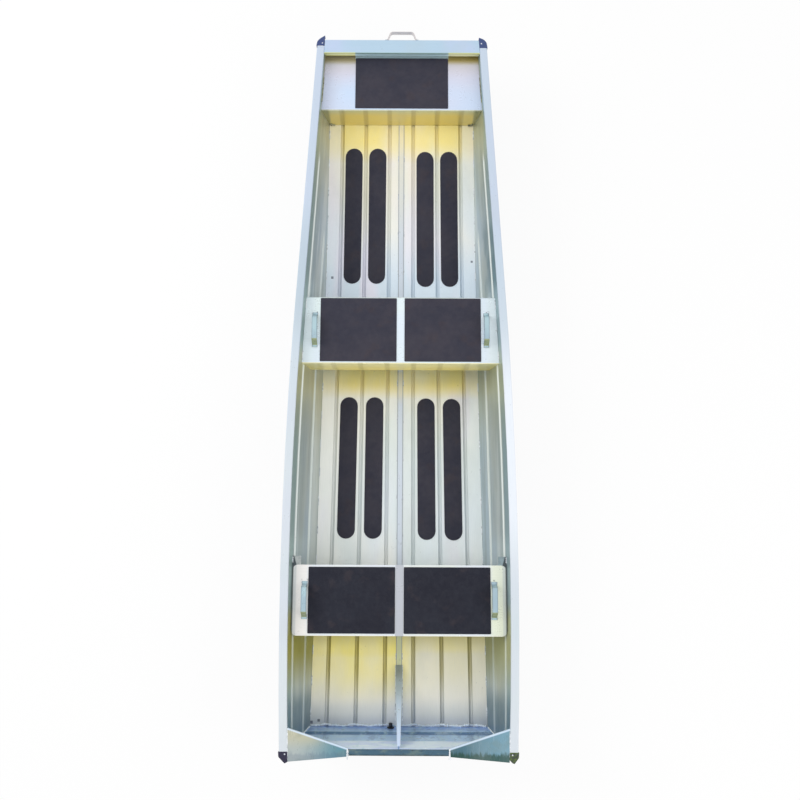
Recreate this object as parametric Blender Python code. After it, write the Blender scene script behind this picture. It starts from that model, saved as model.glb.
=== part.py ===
# Flat-bottomed jon boat of welded aluminium sheet, 3.65 m long, empty and without a motor.
# Units are metres. x runs across the boat, y towards the bow and z up. The origin is below the
# middle of the whole boat, level with the lowest point of its bottom.
# Along the boat, s is the distance forward of the aft edge of the stern.
import math

import bmesh
import bpy
from mathutils import Vector

# Hull outline
HULL_LENGTH = 3.643
DEPTH = 0.430
MAX_BEAM = 1.142
MAX_BEAM_AT = 0.850
STERN_TUCK = 0.0165          # how far each gunwale draws in from the widest point to the stern
TAPER_FULL_AT = 2.200
BOW_TAPER = 0.059            # sideways draw of each gunwale per metre, ahead of TAPER_FULL_AT
FLOOR_STERN_WIDTH = 0.900
FLOOR_TAPER = 0.0361         # loss of floor width per metre
RISE_START = 1.745
RISE_RADIUS = 6.800
PANEL_SET_BACK = 0.078       # from the front of the bow back to the foot of its raked panel
PANEL_CLEARANCE = 0.0013     # from the panel's head to the fold of the bow cap

# Sheets and clearances
BOTTOM_SHEET = 0.0025
SIDE_SHEET = 0.0020
PLATE = 0.0030
GAP = 0.0003
EDGE_GAP = 0.0006
CHINE_LAP = 0.0060           # how far a side sheet reaches below the floor's upper face
CHINE_GAP = 0.0012

# Pressed strakes of the bottom, as shares of the floor's width from its middle
STRAKE_SHARES = (-0.4075, -0.2445, -0.0815, 0.0815, 0.2445, 0.4075)
STRAKE_DEPTH = 0.0140
STRAKE_RADIUS = 0.0080
STRAKE_MOUTH = 0.0210
STRAKE_STEPS = 4

# Pressed beads of the sides, and how far short of the bow each one runs out
LOW_BEAD_Z = 0.135
LOW_BEAD_SHORT = 0.958
HIGH_BEAD_BELOW = 0.102      # from the gunwale's top down to the upper bead
HIGH_BEAD_SHORT = 0.590
BEAD_WIDTH = 0.018
BEAD_DEPTH = 0.005
BEAD_FADE = 0.050
BEAD_START = 0.130
BEAD_ROW = 0.004             # least height between two rows where the floor climbs to a bead

# Gunwale extrusion
GUNWALE_WIDTH = 0.040
GUNWALE_DROP = 0.030
GUNWALE_LIP = 0.014
GUNWALE_WALL = 0.0025
GUNWALE_ROUND = 0.006
WALL_INSET = 0.032           # from the gunwale's outer face to the side sheet's inner face
CORNER_LENGTH = 0.045

# Bow cap, corner caps
BOW_CAP_WIDTH = 0.076
BOW_CAP_FRONT = 0.036
BOW_CAP_BACK = 0.012
CORNER_PROUD = 0.003
CORNER_OVERHANG = 0.009      # how far the stern's corner caps reach past the stern edge
CORNER_ROUND = 0.030
CORNER_WALL = 0.003

# Transom
TRANSOM_FOOT = 0.111
TRANSOM_RAKE = 0.1853
TRANSOM_BELOW = 0.055        # from the gunwale's top down to the transom's centre section
TRANSOM_LOW = 0.004
CENTRE_HALF = 0.2385
TRANSOM_BEAD = (0.100, 0.148)
TRANSOM_BEAD_DEPTH = 0.006
TRANSOM_BEAD_SLOPE = 0.010
BOARD_THICK = 0.0208
BOARD_ABOVE_BEAD = 0.027
CAP_SHEET = 0.0015
CAP_LIP = 0.012
DOUBLER_BELOW = 0.0165       # from the transom's top down to the doublers
DOUBLER_DROP = 0.1085
GUSSET_FRONT = 0.151         # where the gusset's forward edge meets the gunwale
GUSSET_INNER = 0.054         # where that edge ends beside the centre section
GUSSET_FLANGE = 0.014
GUSSET_AFT = 0.0165
KNEE_FOOT = 0.413
KNEE_FOOT_WIDTH = 0.034
KNEE_HEAD_WIDTH = 0.017
KNEE_HEAD_BELOW = 0.012      # from the transom's top down to the knee's head
KNEE_HEAD_REACH = 0.0153     # from the transom's inner face to the end of the knee's flange
KNEE_WEB = 0.004
PLUG_X = -0.041
PLUG_Z = 0.040
PLUG_RADIUS = 0.018
PLUG_FLANGE = 0.004
PLUG_KNOB_ROOT = 0.010
PLUG_KNOB_END = 0.009
PLUG_KNOB = 0.020
PLUG_SIDES = 24

# Keelson strip
KEELSON_WIDTH = 0.030
KEELSON_THICK = 0.003

# Bow deck and seats
DECK_BELOW = 0.060           # from the gunwale's top down to the deck
DECK_LENGTH = 0.371
SEAT_BELOW = 0.070
SEAT_SHEET = 0.0020
SEAT_FOLD = 0.004
SEAT_DROP = 0.155
SEAT_LIP = 0.015
SEATS = {"mid": (1.907, 2.253), "aft": (0.567, 0.904)}      # aft and fore edge of each seat
AFT_SEAT_CLEARANCE = 0.0030
AFT_SEAT_CORNER = 0.024
FOLD_INSET = 0.0005          # how far the aft seat's folds lie inside the edges of its top
BRACKET_WIDTH = 0.041
BRACKET_DROP = 0.034
BRACKET_REACH = 0.042        # how far each bracket runs on ahead of the aft seat
BRACKET_CLEARANCE = 0.00135

# Pads
PAD_THICK = 0.003
PAD_CORNER = 0.004
BOW_PAD_HALF = 0.245
BOW_PAD_SET_BACK = 0.011     # from the deck's aft edge
BOW_PAD_LENGTH = 0.286
# Distance of a seat's pads from the middle, from the seat's aft and fore edges and from the strap
SEAT_PADS = {"mid": (0.020, 0.010, 0.006, 0.013), "aft": (0.021, 0.011, 0.010, 0.0035)}
FLOOR_PAD_WIDTH = 0.093
AFT_PAD_SPARE = (0.145, 0.108)   # floor left bare behind and ahead of the aft floor pads
FORE_PAD_SPARE = (0.166, 0.123)
LANE_SHARES = (-0.326, -0.163, 0.163, 0.326)

# Strap handles
STRAP_WIDTH = 0.027
STRAP_THICK = 0.0045
HANDLE_LENGTH = 0.180
HANDLE_GRIP = 0.120
HANDLE_LEAN = 0.006
HANDLE_HEIGHT = 0.050
HANDLE_BEND = 0.009
HANDLE_INSETS = {"mid": 0.0648, "aft": 0.0632}      # from the side sheet to the strap's middle
BOW_HANDLE_DROP = 0.017      # from the gunwale's top down to the middle of the bow handle's strap

# Places that follow from the sizes above
FLOOR_Z = STRAKE_DEPTH + BOTTOM_SHEET
WALL_TOP = DEPTH - GUNWALE_WALL - GAP
SEAT_Z = DEPTH - SEAT_BELOW
DECK_Z = DEPTH - DECK_BELOW
DECK_AFT = HULL_LENGTH - DECK_LENGTH
PANEL_FOOT = HULL_LENGTH - PANEL_SET_BACK
TRANSOM_TOP = DEPTH - TRANSOM_BELOW
FOREMOST = HULL_LENGTH + GAP + HANDLE_HEIGHT
STERN_Y = (CORNER_OVERHANG - FOREMOST) / 2
BEADS = ((LOW_BEAD_Z, HULL_LENGTH - LOW_BEAD_SHORT), (DEPTH - HIGH_BEAD_BELOW, HULL_LENGTH - HIGH_BEAD_SHORT))
AFT_STEPS = 6
FORE_STEPS = 12
STATIONS = [RISE_START * k / AFT_STEPS for k in range(AFT_STEPS)]
STATIONS += [RISE_START + (PANEL_FOOT - RISE_START) * k / FORE_STEPS for k in range(FORE_STEPS + 1)]
STATIONS.append(HULL_LENGTH)
SIDES = (("left", -1), ("right", 1))


def clear_scene():
    for thing in list(bpy.data.objects):
        bpy.data.objects.remove(thing)


def finish(name, colour, roughness, metallic):
    """A plain Principled material."""
    material = bpy.data.materials.new(name)
    material.use_nodes = True
    shader = material.node_tree.nodes["Principled BSDF"]
    shader.inputs["Base Color"].default_value = (*colour, 1.0)
    shader.inputs["Roughness"].default_value = roughness
    shader.inputs["Metallic"].default_value = metallic
    return material


def add_piece(name, bm, material):
    """Turns a bmesh into a named object with outward faces."""
    bmesh.ops.recalc_face_normals(bm, faces=bm.faces)
    mesh = bpy.data.meshes.new(name)
    bm.to_mesh(mesh)
    bm.free()
    mesh.materials.append(material)
    piece = bpy.data.objects.new(name, mesh)
    bpy.context.scene.collection.objects.link(piece)
    return piece


def smooth(piece, degrees=40):
    piece.data.shade_smooth()
    piece.data.set_sharp_from_angle(angle=math.radians(degrees))


def at(x, s, z):
    return Vector((x, s + STERN_Y, z))


def faceted(curve):
    """The curve made straight between stations, because every long sheet bends only there."""
    def value(s):
        for low, high in zip(STATIONS, STATIONS[1:]):
            if s <= high:
                share = (s - low) / (high - low)
                return curve(low) + share * (curve(high) - curve(low))
        return curve(s)
    return value


@faceted
def half_beam(s):
    """From the middle to the outer face of the gunwale."""
    if s < MAX_BEAM_AT:
        return MAX_BEAM / 2 - STERN_TUCK * ((MAX_BEAM_AT - s) / MAX_BEAM_AT) ** 2
    run = TAPER_FULL_AT - MAX_BEAM_AT
    if s < TAPER_FULL_AT:
        return MAX_BEAM / 2 - BOW_TAPER * (s - MAX_BEAM_AT) ** 2 / (2 * run)
    return MAX_BEAM / 2 - BOW_TAPER * run / 2 - BOW_TAPER * (s - TAPER_FULL_AT)


def floor_half(s):
    return (FLOOR_STERN_WIDTH - FLOOR_TAPER * s) / 2


@faceted
def floor_z(s):
    """Upper face of the floor: flat, then an arc that rises to the bow."""
    run = max(0.0, s - RISE_START)
    return FLOOR_Z + RISE_RADIUS - math.sqrt(RISE_RADIUS ** 2 - run ** 2)


def wall_x(s, z):
    """Inner face of the side sheet, straight from the floor's edge up to the gunwale."""
    low = floor_z(s)
    share = (z - low) / (WALL_TOP - low)
    return floor_half(s) + share * (half_beam(s) - WALL_INSET - floor_half(s))


def gunwale_inner(s):
    return half_beam(s) - GUNWALE_WIDTH


def transom_s(z, back=0.0):
    """The transom's inner face, or a line further aft."""
    return TRANSOM_FOOT - TRANSOM_RAKE * (z - FLOOR_Z) - back


def panel_rake():
    """Forward lean of the bow panel per metre of height, from its foot to inside the cap's fold."""
    lean = PANEL_SET_BACK - 2 * PLATE - PANEL_CLEARANCE
    return lean / (DEPTH - PLATE - GAP - floor_z(PANEL_FOOT))


def panel_s(z, ahead=0.0):
    """The bow panel's inner face, or a line further forward."""
    return PANEL_FOOT + panel_rake() * (z - floor_z(PANEL_FOOT)) + ahead


def loft(sections):
    """A closed solid through rings of points, with flat ends."""
    bm = bmesh.new()
    rings = [[bm.verts.new(point) for point in section] for section in sections]
    for first, second in zip(rings, rings[1:]):
        for k in range(len(first)):
            after = (k + 1) % len(first)
            bm.faces.new((first[k], first[after], second[after], second[k]))
    bm.faces.new(rings[0])
    bm.faces.new(rings[-1])
    return bm


def across(profile, half_width):
    """A profile of (s, z) points run from side to side, each point out to its own half width."""
    return [[at(side * half_width(s, z), s, z) for s, z in profile] for side in (-1, 1)]


def arc(centre, radius, start, end, steps):
    """Points on an arc, in degrees."""
    angles = [math.radians(start + (end - start) * k / steps) for k in range(steps + 1)]
    return [(centre[0] + radius * math.cos(a), centre[1] + radius * math.sin(a)) for a in angles]


def rounded_rectangle(x0, x1, s0, s1, radius, steps=3):
    points = []
    for cx, cs, start in ((x1, s1, 0), (x0, s1, 90), (x0, s0, 180), (x1, s0, 270)):
        centre = (cx - math.copysign(radius, cx - (x0 + x1) / 2),
                  cs - math.copysign(radius, cs - (s0 + s1) / 2))
        points += arc(centre, radius, start, start + 90, steps)
    return points


def raised(outline, low, thick):
    """A flat outline of (x, s) points given a thickness upwards."""
    bm = bmesh.new()
    face = bm.faces.new([bm.verts.new(at(x, s, low)) for x, s in outline])
    top = bmesh.ops.extrude_face_region(bm, geom=[face], use_keep_orig=True)["geom"]
    bmesh.ops.translate(bm, verts=[v for v in top if isinstance(v, bmesh.types.BMVert)],
                        vec=(0, 0, thick))
    return bm


def laid_on_floor(outline, thick):
    """A flat strip, cut at each station and laid down on the floor's curve."""
    bm = raised(outline, 0.0, thick)
    for station in STATIONS:
        bmesh.ops.bisect_plane(bm, geom=bm.verts[:] + bm.edges[:] + bm.faces[:],
                               plane_co=at(0, station, 0), plane_no=(0, 1, 0))
    for vertex in bm.verts:
        vertex.co.z += floor_z(vertex.co.y - STERN_Y) + GAP
    return bm


def strake_points(radius, mouth, rim):
    """Half-round groove as (x, height) points about its own middle."""
    centre = (0.0, -(STRAKE_DEPTH - STRAKE_RADIUS))
    return [(-mouth / 2, rim)] + arc(centre, radius, 180, 360, STRAKE_STEPS) + [(mouth / 2, rim)]


def bottom_section(s, lean, foot):
    """Cross-section of the bottom sheet; its ends lean with the transom and the bow panel."""
    edge = floor_half(s) - CHINE_GAP
    upper = [(-edge, 0.0)]
    lower = [(-edge, -BOTTOM_SHEET)]
    for share in STRAKE_SHARES:
        middle = share * 2 * floor_half(s)
        upper += [(middle + x, z) for x, z in strake_points(STRAKE_RADIUS, STRAKE_MOUTH, 0.0)]
        lower += [(middle + x, z) for x, z in strake_points(
            STRAKE_RADIUS + BOTTOM_SHEET, STRAKE_MOUTH + 2 * BOTTOM_SHEET, -BOTTOM_SHEET)]
    upper.append((edge, 0.0))
    lower.append((edge, -BOTTOM_SHEET))
    return [at(x, s + foot + lean * z, floor_z(s) + z) for x, z in upper + lower[::-1]]


def make_bottom(material):
    sections = [bottom_section(TRANSOM_FOOT, -TRANSOM_RAKE, GAP)]
    sections += [bottom_section(s, 0.0, 0.0) for s in STATIONS[1:-2]]
    sections.append(bottom_section(PANEL_FOOT, panel_rake(), -GAP))
    smooth(add_piece("hull_bottom", loft(sections), material))


def bead_depth(s, front_end):
    """A bead sinks in over BEAD_FADE at both of its ends."""
    ahead = (front_end - s) / BEAD_FADE
    behind = (s - BEAD_START) / BEAD_FADE
    return BEAD_DEPTH * max(0.0, min(1.0, ahead, behind))


def side_section(side, s_of_z, s):
    """Cross-section of a side sheet: its inner face upwards, then its outer face down again."""
    rows = [(floor_z(s) - CHINE_LAP, 0.0)]
    for height, front_end in BEADS:
        depth = bead_depth(s, front_end)
        for step, share in ((-1, 0.0), (-0.5, 0.75), (0, 1.0), (0.5, 0.75), (1, 0.0)):
            rows.append((height + step * BEAD_WIDTH / 2, share * depth))
    rows.append((WALL_TOP, 0.0))
    base = rows[0][0]
    rows = [(max(z, base + BEAD_ROW * k), push) for k, (z, push) in enumerate(rows)]
    inner = [(wall_x(s_of_z(z), z) + push, s_of_z(z), z) for z, push in rows]
    outer = [(x + SIDE_SHEET, along, z) for x, along, z in inner[::-1]]
    return [at(side * x, along, z) for x, along, z in inner + outer]


def make_sides(material):
    ends = [end for _, front in BEADS for end in (front - BEAD_FADE, front)]
    ends += [BEAD_START, BEAD_START + BEAD_FADE]
    stations = sorted(STATIONS[1:-2] + ends)
    for name, side in SIDES:
        sections = [side_section(side, lambda z: transom_s(z, PLATE), TRANSOM_FOOT)]
        sections += [side_section(side, lambda z, s=s: s, s) for s in stations]
        sections.append(side_section(side, lambda z: panel_s(z, PLATE), PANEL_FOOT))
        smooth(add_piece("hull_side_" + name, loft(sections), material), 25)


def gunwale_profile():
    """Channel open below, as (distance in from the outer face, height)."""
    top, wall, radius = DEPTH, GUNWALE_WALL, GUNWALE_ROUND
    outer = [(0.0, top - GUNWALE_DROP)]
    outer += [(radius + x, top - radius + z) for x, z in arc((0, 0), radius, 180, 90, 3)]
    outer += [(GUNWALE_WIDTH - wall, top), (GUNWALE_WIDTH, top - wall), (GUNWALE_WIDTH, top - GUNWALE_LIP)]
    inner = [(GUNWALE_WIDTH - wall, top - GUNWALE_LIP), (GUNWALE_WIDTH - wall, top - wall)]
    inner += [(radius + x, top - radius + z) for x, z in arc((0, 0), radius - wall, 90, 180, 3)]
    inner += [(wall, top - GUNWALE_DROP)]
    return outer + inner


def make_gunwales(material):
    profile = gunwale_profile()
    stations = [CORNER_LENGTH] + STATIONS[1:-1] + [HULL_LENGTH - CORNER_LENGTH]
    for name, side in SIDES:
        sections = [[at(side * (half_beam(s) - inset), s, z) for inset, z in profile] for s in stations]
        smooth(add_piece("gunwale_" + name, loft(sections), material), 30)


def make_bow(material):
    """Raked panel, and the cap strip that is folded over it between the gunwales."""
    low = floor_z(PANEL_FOOT) - STRAKE_DEPTH - BOTTOM_SHEET
    high = DEPTH - PLATE - GAP
    profile = [(panel_s(low, 0), low), (panel_s(high, 0), high),
               (panel_s(high, PLATE), high), (panel_s(low, PLATE), low)]
    add_piece("bow_panel", loft(across(profile, lambda s, z: wall_x(s, z) - EDGE_GAP)), material)
    front, back = HULL_LENGTH, HULL_LENGTH - BOW_CAP_WIDTH
    fold = PLATE
    profile = [(back, DEPTH - BOW_CAP_BACK), (back, DEPTH - fold), (back + fold, DEPTH),
               (front - fold, DEPTH), (front, DEPTH - fold), (front, DEPTH - BOW_CAP_FRONT),
               (front - PLATE, DEPTH - BOW_CAP_FRONT), (front - PLATE, DEPTH - PLATE),
               (back + PLATE, DEPTH - PLATE), (back + PLATE, DEPTH - BOW_CAP_BACK)]
    add_piece("bow_cap", loft(across(profile, lambda s, z: gunwale_inner(s) - GAP)), material)


def corner_outline(side, corner_s, ahead, overhang):
    """Outline of a corner cap, from its inner edge round the boat's corner; ahead is +1 at the bow."""
    start, end = corner_s - ahead * (CORNER_LENGTH - GAP), corner_s + ahead * overhang
    outer = half_beam(corner_s) + CORNER_PROUD
    turn = arc((outer - CORNER_ROUND, 0), CORNER_ROUND, 0, 90, 5)
    points = [(gunwale_inner(start), start), (half_beam(start) + CORNER_PROUD, start)]
    points += [(x, end - ahead * (CORNER_ROUND - y)) for x, y in turn]
    points.append((gunwale_inner(corner_s), end))
    return [(side * x, s) for x, s in points]


def lining_of(rim, middle, side, ahead):
    """The rim of a corner cap moved inwards by the thickness of its skirt."""
    lining = []
    for before, point, after in zip([rim[0]] + rim, rim, rim[1:] + [rim[-1]]):
        run = (after - before).normalized()
        inward = Vector((-run.y, run.x))
        if inward.dot(middle - point) < 0:
            inward = -inward
        lining.append(point + CORNER_WALL * inward)
    lining[0] = rim[0] - Vector((side * CORNER_WALL, 0))
    lining[-1] = rim[-1] - Vector((0, ahead * CORNER_WALL))
    return lining


def make_corner_caps(material):
    """Moulded caps: a top plate with a skirt down the two outer sides."""
    under = WALL_TOP + GAP
    for place, corner_s, ahead, overhang in (("bow", HULL_LENGTH, 1, CORNER_PROUD),
                                             ("stern", 0.0, -1, CORNER_OVERHANG)):
        for name, side in SIDES:
            middle, *rim = [Vector(point) for point in corner_outline(side, corner_s, ahead, overhang)]
            lining = lining_of(rim, middle, side, ahead)
            bm = bmesh.new()
            outer = [bm.verts.new(at(p.x, p.y, under)) for p in rim]
            inner = [bm.verts.new(at(p.x, p.y, under)) for p in lining]
            hub = bm.verts.new(at(middle.x, middle.y, under))
            plate = bm.faces.new([hub] + inner)
            skirt = [bm.faces.new((outer[k], outer[k + 1], inner[k + 1], inner[k]))
                     for k in range(len(rim) - 1)]
            top = bmesh.ops.extrude_face_region(bm, geom=[plate] + skirt, use_keep_orig=True)["geom"]
            bmesh.ops.translate(bm, verts=[v for v in top if isinstance(v, bmesh.types.BMVert)],
                                vec=(0, 0, DEPTH + CORNER_PROUD - under))
            lower = bmesh.ops.extrude_face_region(bm, geom=skirt)["geom"]
            bmesh.ops.delete(bm, geom=[face for face in skirt if face.is_valid], context="FACES_ONLY")
            bmesh.ops.translate(bm, verts=[v for v in lower if isinstance(v, bmesh.types.BMVert)],
                                vec=(0, 0, DEPTH - GUNWALE_DROP - under))
            add_piece("corner_cap_%s_%s" % (place, name), bm, material)


def gusset_z(x):
    """Upper face of a gusset: from the gunwale's top down to the transom's centre section."""
    low = TRANSOM_TOP - CAP_SHEET + PLATE
    high_x = gunwale_inner(GUSSET_FRONT)
    return low + (DEPTH - low) * (abs(x) - CENTRE_HALF) / (high_x - CENTRE_HALF)


def transom_profile(top):
    """The raked skin with its pressed bead, as (s, z) rows up the inner face and down the outer."""
    low, high = TRANSOM_BEAD
    slope = TRANSOM_BEAD_SLOPE
    rows = [(TRANSOM_LOW, 0.0), (low, 0.0), (low + slope, TRANSOM_BEAD_DEPTH),
            (high - slope, TRANSOM_BEAD_DEPTH), (high, 0.0), (top, 0.0)]
    inner = [(transom_s(z, push), z) for z, push in rows]
    outer = [(transom_s(z, push + PLATE), z) for z, push in rows[::-1]]
    return inner + outer


def make_transom(material, board_material, cap_material):
    skin_top = TRANSOM_TOP - CAP_SHEET - GAP
    stop = gunwale_inner(0.0) - EDGE_GAP
    edges = []
    for side in (-1, 1):
        wall = [at(side * (wall_x(s - PLATE, z) - EDGE_GAP), s, z) for s, z in transom_profile(WALL_TOP)]
        slope = [at(side * stop, s, z) for s, z in transom_profile(gusset_z(stop) - PLATE - GAP)]
        centre = [at(side * CENTRE_HALF, s, z) for s, z in transom_profile(skin_top)]
        edges.append([wall, slope, centre])
    add_piece("transom", loft(edges[0] + edges[1][::-1]), material)

    # The board has a rebate along its top, so that the cap's outer lip lies flush in it.
    lip, under = TRANSOM_TOP - CAP_LIP, TRANSOM_TOP - CAP_SHEET
    foot = TRANSOM_BEAD[1] + BOARD_ABOVE_BEAD
    front, back = PLATE + GAP, PLATE + GAP + BOARD_THICK
    seat = back - CAP_SHEET
    profile = [(front, foot), (front, skin_top), (seat - GAP, skin_top), (seat - GAP, lip - GAP),
               (back, lip - GAP), (back, foot)]
    profile = [(transom_s(z, depth), z) for depth, z in profile]
    half = CENTRE_HALF - GAP
    add_piece("transom_board", loft(across(profile, lambda s, z: half)), board_material)

    ahead = -GAP - CAP_SHEET
    profile = [(ahead, lip), (ahead, TRANSOM_TOP), (back, TRANSOM_TOP), (back, lip),
               (seat, lip), (seat, under), (-GAP, under), (-GAP, lip)]
    profile = [(transom_s(z, depth), z) for depth, z in profile]
    add_piece("transom_cap", loft(across(profile, lambda s, z: half)), cap_material)


def doubler_half(z):
    """Half width over both doublers, which stop short of the side sheets."""
    return wall_x(transom_s(z, -PLATE), z) - EDGE_GAP


def make_transom_plates(material):
    """Doublers on the inner face and sloping gussets into the corners, one each side."""
    near = KNEE_WEB / 2 + EDGE_GAP
    high = TRANSOM_TOP - DOUBLER_BELOW
    low = high - DOUBLER_DROP
    profile = [(-GAP, low), (-GAP, high), (-GAP - PLATE, high), (-GAP - PLATE, low)]
    profile = [(transom_s(z, depth), z) for depth, z in profile]
    for name, side in SIDES:
        inner_end = [at(side * near, s, z) for s, z in profile]
        outer_end = [at(side * doubler_half(z), s, z) for s, z in profile]
        add_piece("transom_doubler_" + name, loft([inner_end, outer_end]), material)

        sections = []
        for x_of, aft, front in ((lambda s: CENTRE_HALF + GAP, GUSSET_AFT, GUSSET_INNER),
                                 (lambda s: gunwale_inner(s) - GAP, 0.0, GUSSET_FRONT)):
            ring = []
            for s, drop in ((aft, 0.0), (front, 0.0), (front, GUSSET_FLANGE),
                            (front - PLATE, GUSSET_FLANGE), (front - PLATE, PLATE), (aft, PLATE)):
                ring.append(at(side * x_of(s), s, gusset_z(x_of(s)) - drop))
            sections.append(ring)
        add_piece("transom_gusset_" + name, loft(sections), material)


def knee_section(s, top, half_flange, foot):
    """T-shaped cross-section of the knee at one place along the boat."""
    web, under = KNEE_WEB / 2, top - PLATE
    return [at(x, s, z) for x, z in ((-half_flange, top), (half_flange, top), (half_flange, under),
                                     (web, under), (web, foot), (-web, foot), (-web, under),
                                     (-half_flange, under))]


def make_knee(material):
    """Web from the floor up to the transom's top, with a flange that narrows upwards."""
    web_foot = FLOOR_Z + GAP
    low_top, high_top = web_foot + 2 * PLATE, TRANSOM_TOP - KNEE_HEAD_BELOW
    head_s = transom_s(high_top) + KNEE_HEAD_REACH
    corner_s = TRANSOM_FOOT + EDGE_GAP
    sections = []
    for s in (KNEE_FOOT, corner_s, head_s):
        share = (KNEE_FOOT - s) / (KNEE_FOOT - head_s)
        half = (KNEE_FOOT_WIDTH + share * (KNEE_HEAD_WIDTH - KNEE_FOOT_WIDTH)) / 2
        top = low_top + share * (high_top - low_top)
        foot = web_foot + max(0.0, corner_s - s) / TRANSOM_RAKE
        sections.append(knee_section(s, top, half, min(foot, top - 2 * PLATE)))
    add_piece("transom_knee", loft(sections), material)


def make_drain_plug(material):
    """Turned plug: a flange against the transom and a knob to grip."""
    profile = ((0.0, PLUG_RADIUS), (PLUG_FLANGE, PLUG_RADIUS), (PLUG_FLANGE, PLUG_KNOB_ROOT),
               (PLUG_FLANGE + PLUG_KNOB, PLUG_KNOB_END))
    centre = at(PLUG_X, transom_s(PLUG_Z, -GAP), PLUG_Z)
    forward = Vector((0, 1, TRANSOM_RAKE)).normalized()
    lift = Vector((0, -TRANSOM_RAKE, 1)).normalized()
    sections = []
    for reach, radius in profile:
        ring = arc((0, 0), radius, 0, 360, PLUG_SIDES)[:-1]
        sections.append([centre + forward * reach + Vector((x, 0, 0)) + lift * z for x, z in ring])
    smooth(add_piece("drain_plug", loft(sections), material), 30)


def make_keelson(material):
    start, end = KNEE_FOOT + EDGE_GAP, DECK_AFT - GAP
    half = KEELSON_WIDTH / 2
    outline = [(-half, start), (half, start), (half, end), (-half, end)]
    add_piece("keelson_strip", laid_on_floor(outline, KEELSON_THICK), material)


def make_bow_deck(material):
    """Deck sheet from the bow panel aft, then folded down to the floor."""
    t, fold, top = SEAT_SHEET, SEAT_FOLD, DECK_Z
    front = panel_s(top - t) - GAP
    foot = floor_z(DECK_AFT + t) + KEELSON_THICK + 2 * GAP
    profile = [(DECK_AFT, foot), (DECK_AFT, top - fold), (DECK_AFT + fold, top), (front, top),
               (front, top - t), (DECK_AFT + fold, top - t), (DECK_AFT + t, top - fold), (DECK_AFT + t, foot)]
    add_piece("bow_deck", loft(across(profile, lambda s, z: wall_x(s, z) - EDGE_GAP)), material)


def seat_profile(aft, fore):
    """Folded seat sheet: aft lip and face, top, forward face and lip."""
    t, fold, top, low, lip = SEAT_SHEET, SEAT_FOLD, SEAT_Z, SEAT_Z - SEAT_DROP, SEAT_LIP
    return [(aft + lip, low), (aft, low), (aft, top - fold), (aft + fold, top), (fore - fold, top),
            (fore, top - fold), (fore, low), (fore - lip, low), (fore - lip, low + t),
            (fore - t, low + t), (fore - t, top - fold), (fore - fold, top - t),
            (aft + fold, top - t), (aft + t, top - fold), (aft + t, low + t), (aft + lip, low + t)]


def make_mid_seat(material):
    profile = seat_profile(*SEATS["mid"])
    add_piece("mid_seat", loft(across(profile, lambda s, z: wall_x(s, z) - EDGE_GAP)), material)


def make_aft_seat(material):
    """The top has round corners, so its folded faces stop short of them and of the brackets."""
    aft, fore = SEATS["aft"]
    under = SEAT_Z - SEAT_SHEET
    half = wall_x(aft, under) - AFT_SEAT_CLEARANCE
    outline = rounded_rectangle(-half, half, aft, fore, AFT_SEAT_CORNER, 5)
    seat = add_piece("aft_seat", raised(outline, under, SEAT_SHEET), material)
    profile = seat_profile(aft + FOLD_INSET, fore - FOLD_INSET)
    profile = [(s, min(z, SEAT_Z - FOLD_INSET)) for s, z in profile]
    reach = half - max(AFT_SEAT_CORNER, BRACKET_WIDTH) - SEAT_LIP
    folds = add_piece("aft_seat_folds", loft(across(profile, lambda s, z: reach)), material)
    folds.hide_render = True
    folds.display_type = "WIRE"
    union = seat.modifiers.new("folds", "BOOLEAN")
    union.operation = "UNION"
    union.object = folds


def make_brackets(material):
    """Angles on the side sheets that carry the aft seat and show ahead of it."""
    aft, fore = SEATS["aft"]
    start, end = aft + AFT_SEAT_CORNER, fore + BRACKET_REACH
    high = SEAT_Z - SEAT_SHEET - GAP
    low, under = high - BRACKET_DROP, high - PLATE

    def back(z):
        return wall_x(start, z) - BRACKET_CLEARANCE

    inner = back(high) - BRACKET_WIDTH
    ring = [(inner, high), (back(high), high), (back(low), low), (back(low) - PLATE, low),
            (back(under) - PLATE, under), (inner, under)]
    for name, side in SIDES:
        sections = [[at(side * x, s, z) for x, z in ring] for s in (start, end)]
        add_piece("aft_seat_bracket_" + name, loft(sections), material)


def handle_x(seat):
    """From the middle of the boat to the middle of a seat's strap handle."""
    return wall_x(SEATS[seat][0], SEAT_Z) - HANDLE_INSETS[seat]


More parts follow.
